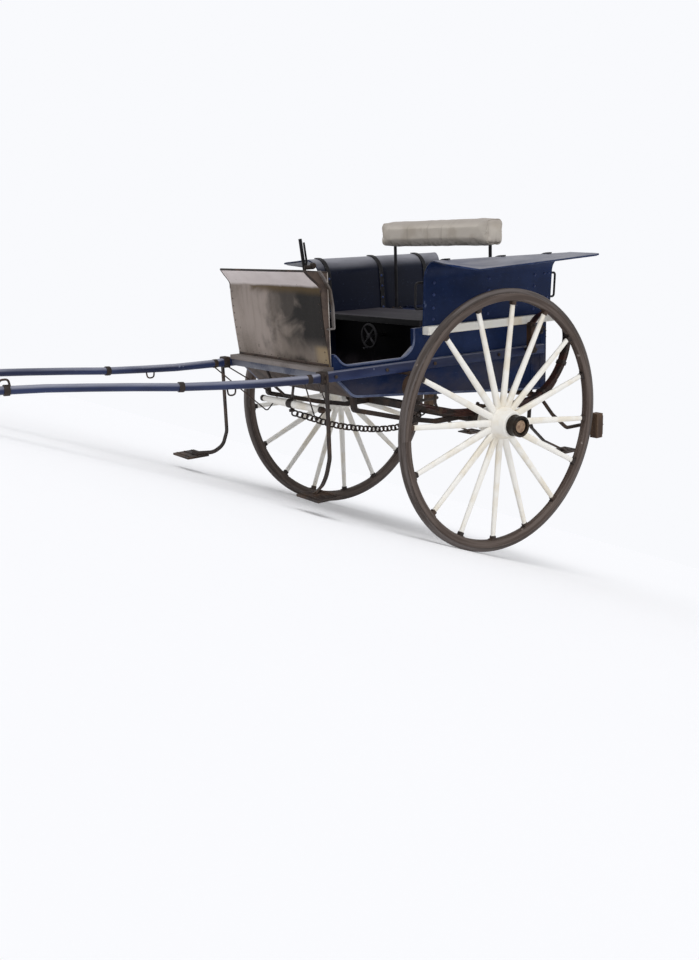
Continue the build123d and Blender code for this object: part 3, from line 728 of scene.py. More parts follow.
@dataclass(frozen=True)
class PanelPaint(Finish):
    """Blue body paint: painted shade on inner faces, mud low down, dusting and painted light on
    top.

    Attributes:
        mud_top: the height under which it starts, in metres over the axle.
    """

    # paler upward faces: partly dusting, partly painted light from above
    dust: Triple = srgb(148, 148, 156)
    dust_share: float = 0.86
    # painted shade on the inner faces, and how much of it they take
    inner: Triple = srgb(14, 17, 30)
    inner_shade_share: float = 0.9
    mud: Triple = srgb(74, 68, 72)
    mud_share: float = 0.55
    mud_top: float = 0.33

    def shade(self, tree: Tree, grain: Socket) -> Socket:
        """Adds painted inner shade, mud, dusting with painted top light and specks to its colour.

        A face is an inner one where its direction and its place have y of unlike signs.

        Args:
            tree: the material's nodes.
            grain: the fine marks.

        Returns:
            A colour output.
        """
        # painted shade: faces that look in toward the body's middle are made dark
        outward = tree.node("SeparateXYZ", {"Vector": tree.normal()}, "Y")
        inward = tree.minus(0.0, tree.times(outward, tree.axis("Y")))
        plain = tree.blend(tree.times(tree.step(inward, 0.02, 0.2), self.inner_shade_share),
                           super().shade(tree, grain), self.inner)
        low = tree.step(tree.minus(self.mud_top, tree.axis("Z")), 0.0, 0.1)
        clods = tree.step(tree.noise(8, (0.6, 1, 1.2), 8), 0.36, 0.6)
        muddy = tree.blend(tree.times(tree.times(low, clods), self.mud_share), plain, self.mud)
        # upward faces paler in clouds: partly dusting, partly painted light from above
        cloudy = tree.times(tree.step(tree.facing(UPWARD), 0.3, 0.9),
                            tree.step(tree.noise(6, (0.5, 2, 1), 7), 0.1, 0.62))
        dusted_and_top_lit = tree.blend(tree.times(cloudy, self.dust_share), muddy, self.dust)
        specks = tree.step(tree.noise(160, detail=2), 0.7, 0.74)
        return tree.blend(tree.times(specks, 0.5), dusted_and_top_lit, self.under)


@dataclass(frozen=True)
class ShaftPaint(Finish):
    """Blue shaft paint with a pale blue grey painted highlight and wear on top, most in front.

    Attributes:
        ahead: where the stronger paleness on top starts and is full, in metres before the axle.
    """

    # pale: the painted highlight along the top, with some wear
    pale: Triple = srgb(158, 160, 174)
    ahead: Pair = (0.86, 1.0)

    def shade(self, tree: Tree, grain: Socket) -> Socket:
        """Adds pale painted highlight and wear on top, in long streaks, to the plain colour.

        Args:
            tree: the material's nodes.
            grain: the fine marks.

        Returns:
            A colour output.
        """
        plain = super().shade(tree, grain)
        ahead = tree.spread(tree.step(tree.axis("X"), *self.ahead), 0.55, 0.9)
        streaks = tree.spread(tree.step(tree.noise(9, (0.14, 1.6, 1.6), 7), 0.3, 0.6), 0.35, 1.0)
        # painted highlight: upward faces take the pale colour in streaks, with some wear
        upper = tree.times(streaks, tree.step(tree.facing(UPWARD), 0.0, 0.8))
        return tree.blend(tree.times(ahead, upper), plain, self.pale)


@dataclass(frozen=True)
class Planks(Finish):
    """Boards side by side, with grain along y and dark joints between them."""

    board: float = 0.145
    first: float = 0.0
    joint: Triple = (0.004, 0.004, 0.005)

    def shade(self, tree: Tree, grain: Socket) -> Socket:
        """Gives each board its own tone and a dark joint at each side.

        Args:
            tree: the material's nodes.
            grain: the fine marks.

        Returns:
            A colour output.
        """
        plain = super().shade(tree, grain)
        across = tree.maths("DIVIDE", tree.minus(tree.axis("X"), self.first), self.board)
        number = tree.maths("FLOOR", across, 0.0)
        tone = tree.node("TexWhiteNoise", {"W": number}, "Value", noise_dimensions="1D")
        toned = tree.blend(tree.spread(tone, 0.0, 0.35), plain, self.faded)
        part = tree.maths("FRACT", across, 0.0)
        near = tree.maths("ABSOLUTE", tree.minus(part, 0.5), 0.0)
        return tree.blend(tree.step(near, 0.482, 0.496), toned, self.joint)


@dataclass(frozen=True)
class DashHide(Finish):
    """Pale hide of the dash: a paler lip, a brown band under it and a darker left half.

    Heights are in metres over the axle of the level carriage, places across it in metres
    to the left of its middle, each from where something starts to where it is full.
    """

    band: Triple = srgb(88, 70, 40)
    band_height: Pair = (0.682, 0.722)
    darkening: Triple = srgb(15, 12, 10)
    darkening_height: Pair = (0.37, 0.5)
    darkening_place: Pair = (-0.02, 0.24)
    pale: Triple = srgb(236, 226, 224)
    lip_height: Pair = (0.724, 0.742)
    tan: Triple = srgb(168, 146, 108)
    tan_place: Pair = (0.3, 0.37)
    tan_top: float = 0.46

    def shade(self, tree: Tree, grain: Socket) -> Socket:
        """Sets the lip pale, the band brown and the left half darker, with streaks down it.

        Args:
            tree: the material's nodes.
            grain: the fine marks.

        Returns:
            A colour output.
        """
        plain = super().shade(tree, grain)
        height, side = tree.axis("Z"), tree.axis("Y")
        cloud = tree.noise(7, (1, 0.8, 1), 8, twist=0.6)
        streaks = tree.step(tree.noise(26, (1, 1, 0.12), 6), 0.46, 0.7)
        streaked = tree.blend(tree.times(streaks, 0.22), plain, self.under)
        wavy = tree.plus(height, tree.spread(cloud, -0.012, 0.012))
        sideways = tree.plus(side, tree.spread(cloud, -0.3, 0.3))
        # the left half made darker, above the sheet's lowest part
        darkening = tree.times(tree.step(sideways, *self.darkening_place),
                          tree.step(height, *self.darkening_height))
        smuts = tree.times(tree.step(tree.noise(4.2, detail=8), 0.48, 0.6), 0.75)
        share = tree.most(tree.times(darkening, 0.97),
                          tree.times(smuts, tree.step(sideways, -0.3, 0.1)))
        darkened = tree.blend(share, streaked, self.darkening)
        patch = tree.times(tree.step(side, *self.tan_place),
                           tree.step(tree.minus(self.tan_top, wavy), 0.0, 0.03))
        tanned = tree.blend(tree.times(patch, 0.6), darkened, self.tan)
        lip = tree.step(wavy, *self.lip_height)
        band = tree.times(tree.minus(tree.step(wavy, *self.band_height), lip),
                          tree.step(sideways, -0.34, -0.12))
        banded = tree.blend(tree.times(band, 0.8), tanned, self.band)
        light = tree.blend(tree.spread(cloud, 0.0, 0.5), self.pale, self.colour)
        return tree.blend(tree.times(lip, 0.95), banded, light)


@dataclass(frozen=True)
class Canvas(Finish):
    """Woven canvas, with its threads crossing and old stains.

    Attributes:
        threads: threads in a metre, three to a wave of the weave.
    """

    threads: float = 900.0
    top: Triple = srgb(160, 152, 145)
    top_height: Pair = (0.972, 1.012)
    mould: Triple = srgb(92, 82, 62)
    mould_top: float = 0.925
    sheen: float = 0.15

    def shade(self, tree: Tree, grain: Socket) -> Socket:
        """Lays stains, drips, mould and grime over the cloth's colour.

        Args:
            tree: the material's nodes.
            grain: the slubs in the cloth's threads.

        Returns:
            A colour output.
        """
        stains = tree.step(tree.noise(7, (1, 1, 1.4), 8), 0.44, 0.66)
        colour = tree.blend(stains, self.colour, self.faded)
        drips = tree.step(tree.noise(10, (1, 2.4, 0.25), 6), 0.58, 0.74)
        colour = tree.blend(tree.times(drips, 0.6), colour, self.under)
        low = tree.step(tree.minus(self.mould_top, tree.axis("Z")), 0.0, 0.05)
        mould = tree.times(low, tree.step(tree.noise(34, detail=6), 0.44, 0.6))
        colour = tree.blend(tree.times(mould, 0.7), colour, self.mould)
        grimy = tree.step(tree.axis("Z"), *self.top_height)
        colour = tree.blend(tree.times(grimy, 0.8), colour, self.top)
        return tree.blend(tree.spread(grain, 0.16, 0.0), colour, self.under)

    def thread(self, tree: Tree, letter: str) -> Socket:
        """A wave across the threads that lie side by side along one axis."""
        turn = tree.times(tree.axis(letter), self.threads * 2 * math.pi / 3)
        return tree.maths("SINE", turn, 0.0)

    def build(self) -> bpy.types.Material:
        """Makes the cloth's material.

        Returns:
            The material, with stains in its colour and a weave in its bump.
        """
        tree = Tree(self.name)
        slub = tree.noise(320, (1, 0.3, 1), 3)
        tree.surface(self.shade(tree, slub), tree.spread(slub, *self.rough))
        tree.constants(Sheen_Weight=self.sheen)
        weave = tree.most(self.thread(tree, "Y"), self.thread(tree, "Z"))
        tree.relief(tree.plus(tree.times(weave, 0.25), slub), 0.7, self.bump)
        return tree.material


@dataclass
class Finishes:
    """Every finish of the carriage, each made once when it is first asked for."""

    made: dict[str, bpy.types.Material] = field(default_factory=dict)

    BLUE = PanelPaint("body_blue", srgb(14, 33, 70), srgb(24, 44, 86), srgb(92, 104, 134),
                      faded_share=0.4, chips=0.1, rough=(0.25, 0.46), grain_stretch=(0.5, 1, 1),
                      gloss=0.12)
    # painted shade: the near-black floor and heel boards stand in for the shadow inside the body
    INSIDE = PanelPaint("inside_dark", srgb(6, 5, 7), srgb(14, 13, 17), srgb(44, 42, 46),
                        rough=(0.5, 0.75), chips=0.14, dust=srgb(36, 34, 36), gloss=0.05)
    BEAD = Finish("bead_pale", srgb(96, 106, 134), srgb(62, 72, 104), srgb(160, 164, 176),
                  patch=8, faded_share=0.4, grain=120, wear=0.7, edge=0.003, rough=(0.3, 0.5))
    SHAFT = ShaftPaint("shaft_blue", srgb(42, 54, 92), srgb(26, 34, 66), srgb(132, 138, 158),
                       patch=5, stretch=(0.35, 2, 2), faded_share=0.5, grain=90, chips=0.16,
                       grain_stretch=(0.12, 1, 1), rough=(0.22, 0.42), wear=0.7)
    CREAM = Finish("spoke_cream", srgb(250, 247, 240), srgb(240, 232, 216), srgb(150, 134, 112),
                   patch=9, faded_share=0.3, grain=55, chips=0.03, rough=(0.34, 0.55), wear=0.25,
                   edge=0.002)
    RAIL = Finish("rail_cream", srgb(250, 247, 238), srgb(236, 220, 192), srgb(150, 130, 106),
                  patch=5, stretch=(1.2, 1, 0.5), faded_share=0.2, chips=0.08, wear=0.4,
                  rough=(0.36, 0.6))
    RIM = Finish("rim_brown", srgb(72, 59, 52), srgb(98, 86, 79), srgb(140, 130, 124), patch=26,
                 stretch=(0.1, 2.2, 1), faded_share=0.45, grain=260, grain_stretch=(0.05, 1, 1),
                 by_length=True, chips=0.14, wear=0.5, rough=(0.4, 0.66))
    TYRE = Finish("tyre_worn", srgb(66, 57, 52), srgb(98, 90, 87), srgb(120, 110, 104), patch=30,
                  stretch=(0.07, 1.6, 1), faded_share=0.5, grain=300, grain_stretch=(0.05, 1, 1),
                  by_length=True, wear=0.4, rough=(0.38, 0.65))
    IRON = Finish("iron_dark", srgb(44, 36, 33), srgb(76, 58, 46), srgb(118, 104, 94), patch=9,
                  grain=120, edge=0.003, rough=(0.42, 0.7), bump=0.0005)
    PALE_IRON = Finish("iron_pale", srgb(112, 106, 104), srgb(84, 74, 66), srgb(168, 164, 162),
                       patch=9, grain=120, edge=0.003)
    SPRING = Finish("spring_iron", srgb(66, 36, 30), srgb(40, 32, 30), srgb(128, 96, 82), patch=11,
                    faded_share=0.5, grain=140, chips=0.28, wear=0.7, edge=0.0025,
                    rough=(0.4, 0.62), bump=0.0005)
    HUB = Finish("hub_black", srgb(22, 17, 14), srgb(46, 36, 28), srgb(120, 100, 76), patch=16,
                 grain=110, chips=0.1, edge=0.003, rough=(0.3, 0.5), metal=0.1, gloss=0.2)
    # black iron: its pale edges are a painted highlight, its chips worn iron
    BLACK = Finish("iron_black", srgb(22, 21, 24), srgb(38, 36, 40), srgb(128, 128, 134), patch=9,
                   grain=130, chips=0.12, wear=0.7, edge=0.003, bump=0.0005, gloss=0.2)
    RIVET = Finish("rivet_blue", srgb(50, 66, 112), srgb(34, 48, 92), srgb(120, 128, 152), patch=30,
                   grain=200, chips=0.15, wear=0.5, edge=0.002, rough=(0.35, 0.55))
    DISC = Finish("disc_brass", srgb(168, 142, 118), srgb(128, 102, 84), srgb(206, 190, 170),
                  patch=40, grain=200, chips=0.1, edge=0.002, rough=(0.3, 0.5), metal=0.8,
                  gloss=0.5)
    SEAT = Planks("seat_grey", srgb(48, 46, 51), srgb(68, 65, 70), srgb(106, 101, 100),
                  stretch=(2, 0.3, 1), grain=90, grain_stretch=(1, 0.06, 1), chips=0.16,
                  rough=(0.5, 0.75), first=0.012, bump=0.0008, gloss=0.2)
    LID = Planks("lid_blue", srgb(22, 30, 58), srgb(44, 54, 86), srgb(112, 118, 138),
                 stretch=(1, 0.4, 1), grain=80, grain_stretch=(1, 0.1, 1), chips=0.14,
                 rough=(0.34, 0.6), board=0.3, wear=0.8, gloss=0.2)
    DASH = DashHide("dash_hide", srgb(158, 146, 138), srgb(126, 115, 106), srgb(88, 77, 69),
                    patch=4, stretch=(1, 1, 0.5), faded_share=0.45, grain=130, chips=0.14,
                    wear=0.3, rough=(0.42, 0.66), bump=0.0007, gloss=0.15)
    PALE_HIDE = Finish("pale_hide", srgb(186, 178, 172), srgb(150, 140, 130), srgb(96, 84, 74),
                       patch=12, grain=150, wear=0.3, rough=(0.5, 0.7), bump=0.0006)
    LEDGE = Finish("ledge_grey", srgb(132, 124, 120), srgb(98, 90, 86), srgb(60, 52, 48), patch=8,
                   stretch=(1, 0.4, 1), faded_share=0.5, grain=110, chips=0.3, wear=0.4,
                   rough=(0.5, 0.72), bump=0.0008)
    CROSSBAR = Finish("crossbar_worn", srgb(112, 114, 124), srgb(62, 68, 88), srgb(160, 160, 160),
                      patch=9, stretch=(1, 0.5, 1), faded_share=0.45, grain=90, chips=0.3,
                      wear=0.7)
    GUSSET = Finish("gusset_brown", srgb(84, 70, 62), srgb(56, 46, 42), srgb(120, 106, 96),
                    patch=14, grain=150, chips=0.16, rough=(0.5, 0.75), bump=0.0008)
    LEATHER = Finish("strap_leather", srgb(70, 48, 34), srgb(44, 32, 26), srgb(112, 88, 68),
                     patch=14, grain=220, wear=0.5, edge=0.003, rough=(0.5, 0.75), bump=0.0008)
    BLOCK = Finish("block_wood", srgb(92, 70, 52), srgb(66, 50, 40), srgb(134, 112, 90),
                   patch=12, stretch=(1, 1, 0.3), grain=120, grain_stretch=(1, 1, 0.1),
                   rough=(0.55, 0.8), bump=0.001)
    CANVAS = Canvas("back_canvas", srgb(203, 195, 184), srgb(186, 176, 163), srgb(150, 138, 124),
                    rough=(0.8, 0.95), bump=0.0006)

    def get(self, finish: Finish) -> bpy.types.Material:
        """The material of a finish, made when it is first asked for.

        Args:
            finish: one of those above.

        Returns:
            Its material.
        """
        if finish.name not in self.made:
            self.made[finish.name] = finish.build()
        return self.made[finish.name]


# Sub-assemblies


@dataclass
class Assembly:
    """A sub-assembly, whose pieces are dressed from the carriage's finishes."""

    finishes: Finishes

    def piece(self, shell: Shell, name: str, finish: Finish, slot: str, *nodes: str,
              body: Body = Body.FRAME, sharp: float = SHARP) -> bpy.types.Object:
        """Builds one piece, in the place of its CAD nodes where it has any.

        Args:
            shell: its surfaces.
            name: its name.
            finish: its finish.
            slot: the name of that finish's slot.
            *nodes: the CAD nodes that it stands in for.
            body: the body that it moves with.
            sharp: the angle past which an edge stays sharp, in degrees.

        Returns:
            The finished object.
        """
        made = shell.build(name, body, self.finishes.get(finish), slot, sharp)
        if nodes:
            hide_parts(*nodes)
        return made

    def pair(self, shell: Shell, name: str, finish: Finish, slot: str, node: str,
             sharp: float = SHARP) -> None:
        """Builds a piece for each side, in the place of that side's CAD node.

        Args:
            shell: its surfaces on the left.
            name: its name without the side's word.
            finish: its finish.
            slot: the name of that finish's slot.
            node: the CAD node's name without the side's word.
            sharp: the angle past which an edge stays sharp, in degrees.
        """
        for side in Side:
            self.piece(shell.on(side), f"{side.word}_{name}", finish, slot,
                       f"{side.word}_{node}", sharp=sharp)


@dataclass
class Wheel(Assembly):
    """One wheel: tyre, felloe, spokes in their sockets, nave and cap.

    Points are first (x, distance out, z) about the rim's middle, then they are leaned out
    at the top by the camber and set on the axle.

    Attributes:
        first: the angle of its first spoke from the top, in degrees.
        stops: the distances at which a spoke's section is drawn after that.
        spoke: distance from the axle, half width and half thickness of a spoke.
        dish: how far a spoke's foot stands out from its end at the felloe.
    """

    side: Side
    first: float
    rim_y: float = 717.5
    camber: float = math.radians(1.2)
    count: int = 16
    root: float = 78.0
    stops: tuple[float, ...] = (96, 130, 200, 300, 400, 500, 570, 600, 622)
    spoke: tuple[Triple, ...] = ((78, 20, 14), (130, 18.6, 13), (350, 16, 11.4),
                                 (622, 12.6, 9.4))
    dish: float = 10.0
    dish_foot: float = 80.0
    tenon: float = 3.0
    felloe_in: float = 618.0
    felloe_out: float = 656.0
    radius: float = 680.0
    cap_start: float = 78.0
    cap_end: float = 138.0
    recess: float = 16.0

    def place(self, points: Array) -> Array:
        """Sets wheel points on the axle: y is rim + out cos + z sin, z is z cos - out sin.

        Args:
            points: (x, distance out, z) about the rim's middle.

        Returns:
            Points of the level carriage.
        """
        c, s = math.cos(self.camber), math.sin(self.camber)
        x, out, z = np.moveaxis(points, -1, 0)
        return np.stack([x, self.side.value * (self.rim_y + out * c + z * s), z * c - out * s], -1)

    def dress(self, shell: Shell, name: str, finish: Finish, slot: str, *nodes: str) -> None:
        """Builds a piece of the wheel; names come without the side's word.

        Args:
            shell: its surfaces.
            name: its name.
            finish: its finish.
            slot: the name of that finish's slot.
            *nodes: the CAD nodes that it stands in for.
        """
        named = [f"{self.side.word}_{word}" for word in (name, *nodes)]
        self.piece(shell, named[0], finish, slot, *named[1:], body=self.side.wheel)

    def turned(self, profile: Points, sides: int) -> Shell:
        """A profile turned about the hub.

        Args:
            profile: (distance out, radius) points.
            sides: how many faces go round it.

        Returns:
            A shell that holds it.
        """
        shell = Shell(self.place)
        lathe(shell, profile, (0, 0, 0), TO_LEFT, sides)
        return shell

    def directions(self) -> Iterable[tuple[Array, Array]]:
        """Goes round the spokes.

        Yields:
            A spoke's direction and the one square to it in the wheel's plane.
        """
        for k in range(self.count):
            turn = math.radians(self.first + 360 / self.count * k)
            yield (np.array([math.sin(turn), 0, math.cos(turn)]),
                   np.array([math.cos(turn), 0, -math.sin(turn)]))

    def rim(self) -> None:
        """The tyre with its rounded tread, and the felloe."""
        inner, outer, low = self.felloe_out, self.radius, self.felloe_in
        tyre = [(-17, inner), (-17, outer - 9), (-15, outer - 4), (-9, outer - 0.8), (0, outer),
                (9, outer - 0.8), (15, outer - 4), (17, outer - 9), (17, inner), (-17, inner)]
        self.dress(self.turned(tyre, 144), "rim_tyre", Finishes.TYRE, "tyre_rubber", "tyre")
        felloe = [(-19, inner), (-19, low + 7), (-17.5, low + 3), (-13, low), (13, low),
                  (17.5, low + 3), (19, low + 7), (19, inner), (-19, inner)]
        self.dress(self.turned(felloe, 144), "rim_felloe", Finishes.RIM, "brown_wood", "felloe")

    def spokes(self) -> None:
        """The nave and its spokes, oval at the root and thinner toward the rim."""
        nave = [(-118, 21.5), (-118, 64), (-114, 69), (-104, 71), (-100, 68.5), (-94, 72),
                (-74, 80), (-46, 83), (-4, 84), (20, 82), (30, 77.5), (60, 71), (72, 69.5),
                (76, 67), (78, 63), (78, 21.5), (-118, 21.5)]
        shell = self.turned(nave, 72)
        reach = np.array([self.root, *self.stops])
        far, wide, thick = np.array(self.spoke).T
        section = blunt_section(np.interp(reach, far, wide), np.interp(reach, far, thick),
                                np.full(len(reach), 2.6), 16)
        end = self.felloe_in + self.tenon
        out = -self.dish * (end - reach) / (end - self.dish_foot)
        for away, across in self.directions():
            path = reach[:, None] * away + out[:, None] * np.array(TO_LEFT)
            carry(shell, path, section, across)
        self.dress(shell, "spoke_set", Finishes.CREAM, "cream_paint", "spokes")

    def sockets(self) -> None:
        """An iron socket with two bolts where each spoke meets the felloe."""
        shell = Shell(self.place)
        low, bolt = self.felloe_in, 17.5
        for away, across in self.directions():
            axes = np.stack([across, TO_LEFT, away])
            lump(shell, away * (low - 10), (13.5, 12.5, 11), 4, axes)
            lump(shell, away * (low - 1.4), (22, 15, 2.2), 1.4, axes, 2)
            ends = [away * (low - 3) + across * way * bolt for way in (-1, 1)]
            heads(shell, Head.RIVET, ends, -away, 4.5)
        self.dress(shell, "spoke_sockets", Finishes.IRON, "black_iron")

    def hub(self) -> None:
        """The cap with its lips, and a plain disc with raised rings in its recess."""
        start, end = self.cap_start, self.cap_end
        floor = end - self.recess
        cap = [(start, 27.5), (start, 53), (start + 3, 55), (start + 8, 55), (start + 11, 51.5),
               (end - 20, 52), (end - 15, 54), (end - 5, 54.5), (end - 1, 53),
               (end, 50), (end - 0.5, 46), (end - 4, 43), (floor, 42), (floor, 0),
               (floor - 12, 0), (floor - 12, 27.5), (start, 27.5)]
        self.dress(self.turned(cap, 72), "cap_ring", Finishes.HUB, "black_iron", "hub_cap")
        disc = [(floor, 0), (floor, 33), (floor + 4, 33), (floor + 6.5, 31.5), (floor + 6.5, 29),
                (floor + 4.5, 27.5), (floor + 4.5, 18), (floor + 6, 16.5), (floor + 6.5, 13.5),
                (floor + 5.4, 6), (floor + 5.4, 0)]
        self.dress(self.turned(disc, 56), "cap_disc", Finishes.DISC, "brass_disc", "hub_disc")

    def build(self) -> None:
        """Builds the whole wheel."""
        self.rim()
        self.spokes()
        self.sockets()
        self.hub()


@dataclass
class Springs(Assembly):
    """The two springs: leaves arched in front and curled in a C behind.

    Places in the spring's plane are (x, z).

    Attributes:
        leaf: a leaf's thickness, with the gap under it.
        leaves: each leaf's share of the way forward and the angle at which it ends behind.
        clip_places: how many leaves each clip holds and at which point of the path it is.
        bolt: how far the seat's bolts are from the spring's middle, in x and in y.
    """

    y: float = 528.0
    width: float = 44.0
    leaf: float = 9.0
    gap: float = 0.9
    top: float = 52.5
    front: Pair = (420.0, 140.0)
    low_middle: Pair = (-325.0, 402.5)
    low_radius: float = 350.0
    turn: float = 190.0
    high_radius: float = 150.0
    leaves: tuple[Pair, ...] = ((1.0, 35), (0.8, 110), (0.6, 160), (0.4, 225))
    clip_places: tuple[tuple[int, int], ...] = ((3, 7), (4, 27), (3, 38))
    bolt: Pair = (34, 31)

    @staticmethod
    def arc(middle: Sequence[float], radius: float, degrees: Array) -> Array:
        """Points of a circle: middle + radius (cos, sin)."""
        turn = np.radians(degrees)
        return np.stack([middle[0] + radius * np.cos(turn), middle[1] + radius * np.sin(turn)], -1)

    def high_middle(self) -> Array:
        """The centre of the narrow bend, which the wide one runs into."""
        meeting = self.arc(self.low_middle, self.low_radius, np.array([self.turn]))[0]
        return self.arc(meeting, self.high_radius, np.array([self.turn - 180]))[0]

    def line(self, drop: float, reach: float, end: float) -> Array:
        """The middle line of one leaf, in x and z.

        Args:
            drop: how far it lies under the longest leaf.
            reach: how much of the way to the front eye it goes.
            end: the angle at which it ends behind.

        Returns:
            Points from its front end to its rear end.
        """
        rise = self.front[1] - self.top
        radius = (self.front[0] ** 2 + rise**2) / (2 * rise)
        full = math.degrees(math.asin(self.front[0] / radius)) * reach
        runs = [self.arc((0, self.top + radius), radius + drop, 270 + np.linspace(full, 0, 20))]
        wide = max(end, self.turn)
        broad = np.linspace(270, wide, 26)
        runs.append(self.arc(self.low_middle, self.low_radius + drop, broad)[1:])
        if end < self.turn:
            narrow = np.linspace(self.turn, end, 26)[1:]
            runs.append(self.arc(self.high_middle(), self.high_radius + drop, narrow))
        return np.concatenate(runs)

    def at(self, flat: Array) -> Array:
        """Points in x and z set at the spring's distance out."""
        return np.stack([flat[:, 0], np.full(len(flat), self.y), flat[:, 1]], -1)

    def leaf_set(self) -> None:
        """All leaves, each narrower at its free ends, with a shadow line between them."""
        shell = Shell()
        section = box_section(self.width, self.leaf - self.gap, 2.6)
        for number, (reach, end) in enumerate(self.leaves):
            path = self.at(self.line(number * self.leaf, reach, end))
            far = running(path)
            near_end = np.minimum(far, far[-1] - far)
            taper = np.interp(near_end, (0, 55), (0.72 if number else 1.0, 1.0))
            factors = np.stack([taper, taper * 0 + 1], -1)[:, None]
            carry(shell, path, section[None] * factors, TO_LEFT)
        self.pair(shell, "spring_leaves", Finishes.SPRING, "rusty_iron", "spring")

    def irons(self) -> None:
        """Clips round the leaves, the seat on the axle, the eye in front and the C's pin."""
        shell = Shell()
        for count, index in self.clip_places:
            path = self.at(self.line((count - 1) * self.leaf / 2, *self.leaves[0]))
            along = unit(path[index + 1] - path[index - 1])
            axes = np.stack([along, TO_LEFT, np.cross(along, TO_LEFT)])
            lump(shell, path[index], (11, self.width / 2 + 3, count * self.leaf / 2 + 3), 2, axes)
        lump(shell, (0, self.y, 63), (48, 28, 5.5), 2)
        lump(shell, (0, self.y, -27), (46, 37, 5), 2)
        reach, half = self.bolt
        sides = [self.y - half, self.y + half]
        for x in (-reach, reach):
            posts = [(x, sides[0], 76), (x, sides[0], -27), (x, sides[1], -27), (x, sides[1], 76)]
            carry(shell, bent(posts, 9), round_section(5.5, 10), FORWARD)
            heads(shell, Head.NUT, [(x, y, 68) for y in sides], UPWARD, 10)
            heads(shell, Head.NUT, [(x, y, -32) for y in sides], DOWNWARD, 9)
        half = self.width / 2
        end = self.arc(self.high_middle(), self.high_radius, np.array([self.leaves[0][1]]))[0]
        for (x, z), radius in ((self.front, 15), (end, 11)):
            profile = [(-half, radius - 2), (2 - half, radius), (half - 2, radius),
                       (half, radius - 2)]
            lathe(shell, profile, (x, self.y, z), TO_LEFT, 20)
            for way, out in ((1, TO_LEFT), (-1, TO_RIGHT)):
                place = (x, self.y + way * (half + 1), z)
                heads(shell, Head.NUT, [place], out, radius * 0.72)
        self.piece(shell.mirrored(), "spring_irons", Finishes.IRON, "black_iron")

    def build(self) -> None:
        """Builds the leaves of each side as a piece of its own, and the irons of both."""
        self.leaf_set()
        self.irons()


@dataclass
class Shafts(Assembly):
    """The sills beside the body and the round shafts that they run into.

    Attributes:
        stations: x, distance out, height, half width, half height, and the power that
            makes the section square or round.
    """

    stations: tuple[tuple[float, ...], ...] = (
        (-550, 463, 312, 22, 24, 12),
        (880, 463, 312, 22, 24, 12),
        (930, 461, 311.5, 21.6, 23, 5),
        (1000, 454, 311, 21, 21, 2.2),
        (1250, 430, 318, 20, 20, 2),
        (1450, 413, 331, 19.2, 19.2, 2),
        (1650, 396, 346, 18.4, 18.4, 2),
        (1850, 379, 368, 18.1, 18.1, 2),
        (2050, 362, 388, 17.8, 17.8, 2),
        (2225, 348, 404, 17.7, 17.7, 2),
        (2400, 334, 414.5, 17.6, 17.6, 2),
        (2650, 318, 418, 17.5, 17.5, 2),
        (2840, 310, 411, 16.5, 16.5, 2),
        (2850, 309.6, 410.6, 13.8, 13.8, 2),
        (2855, 309.4, 410.4, 7.5, 7.5, 2),
    )
    bands: tuple[float, ...] = (1003, 1640, 2380)
    sill_bolts: tuple[float, ...] = (870, 560, 250, -200, -480)
    bracket: Triple = (934, 463, 312)
    stop: float = 2395
    dee: float = 1400
    tip: float = 2840

    def wood(self) -> None:
        """One shaft with its sill, from a section that changes along it."""
        shell = Shell()
        table = np.array(self.stations)
        xs = np.unique(np.concatenate([table[:, 0], np.linspace(900, 2840, 60)]))
        columns = [np.interp(xs, table[:, 0], table[:, k]) for k in range(1, 6)]
        out, height, half_width, half_height, power = columns
        path = np.stack([xs, out, height], -1)
        carry(shell, path, blunt_section(half_width, half_height, power, 32), TO_LEFT)
        self.pair(shell, "shaft_wood", Finishes.SHAFT, "blue_paint", "shaft", 50)

    def middle(self, x: float) -> Array:
        """A point of the shaft's middle line."""
        xs, out, height = np.array(self.stations).T[:3]
        return np.array([x, np.interp(x, xs, out), np.interp(x, xs, height)])

    def irons(self) -> None:
        """Step bracket, bands, tug stop, dee for the breeching, tip and bolts."""
        shell = Shell()
        lump(shell, self.bracket, (19, 27.5, 29.5), 5)
        band = [(-12, 17), (-12, 22.4), (-10, 23.2), (10, 23.2), (12, 22.4), (12, 17)]
        for x in self.bands:
            lathe(shell, band, self.middle(x), self.middle(x + 20) - self.middle(x - 20), 24)
        stop = self.middle(self.stop)
        arch = [stop + (-30, 6, 8), stop + (-24, 10, 44), stop + (12, 10, 44), stop + (20, 6, 8)]
        carry(shell, bent(arch, 14), round_section(4.6, 10), TO_LEFT)
        dee = self.middle(self.dee)
        drop = [dee + (-22, 0, -12), dee + (-18, 0, -46), dee + (18, 0, -46), dee + (22, 0, -12)]
        carry(shell, bent(drop, 16), round_section(4, 10), TO_LEFT)
        tip = [(-62, 16), (-62, 18.4), (-58, 18.8), (-4, 17.4), (8, 15), (14, 9), (16.5, 0)]
        end = self.middle(self.tip)
        lathe(shell, tip, end, end - self.middle(self.tip - 50), 24)
        for x in self.sill_bolts:
            heads(shell, Head.NUT, [(x, 485, 312)], TO_LEFT, 9)
        heads(shell, Head.NUT, [(self.bracket[0], 490, z) for z in (298, 326)], TO_LEFT, 8)
        self.piece(shell.mirrored(), "shaft_irons", Finishes.IRON, "black_iron")

    def build(self) -> None:
        """Builds both shafts and their irons."""
        self.wood()
        self.irons()


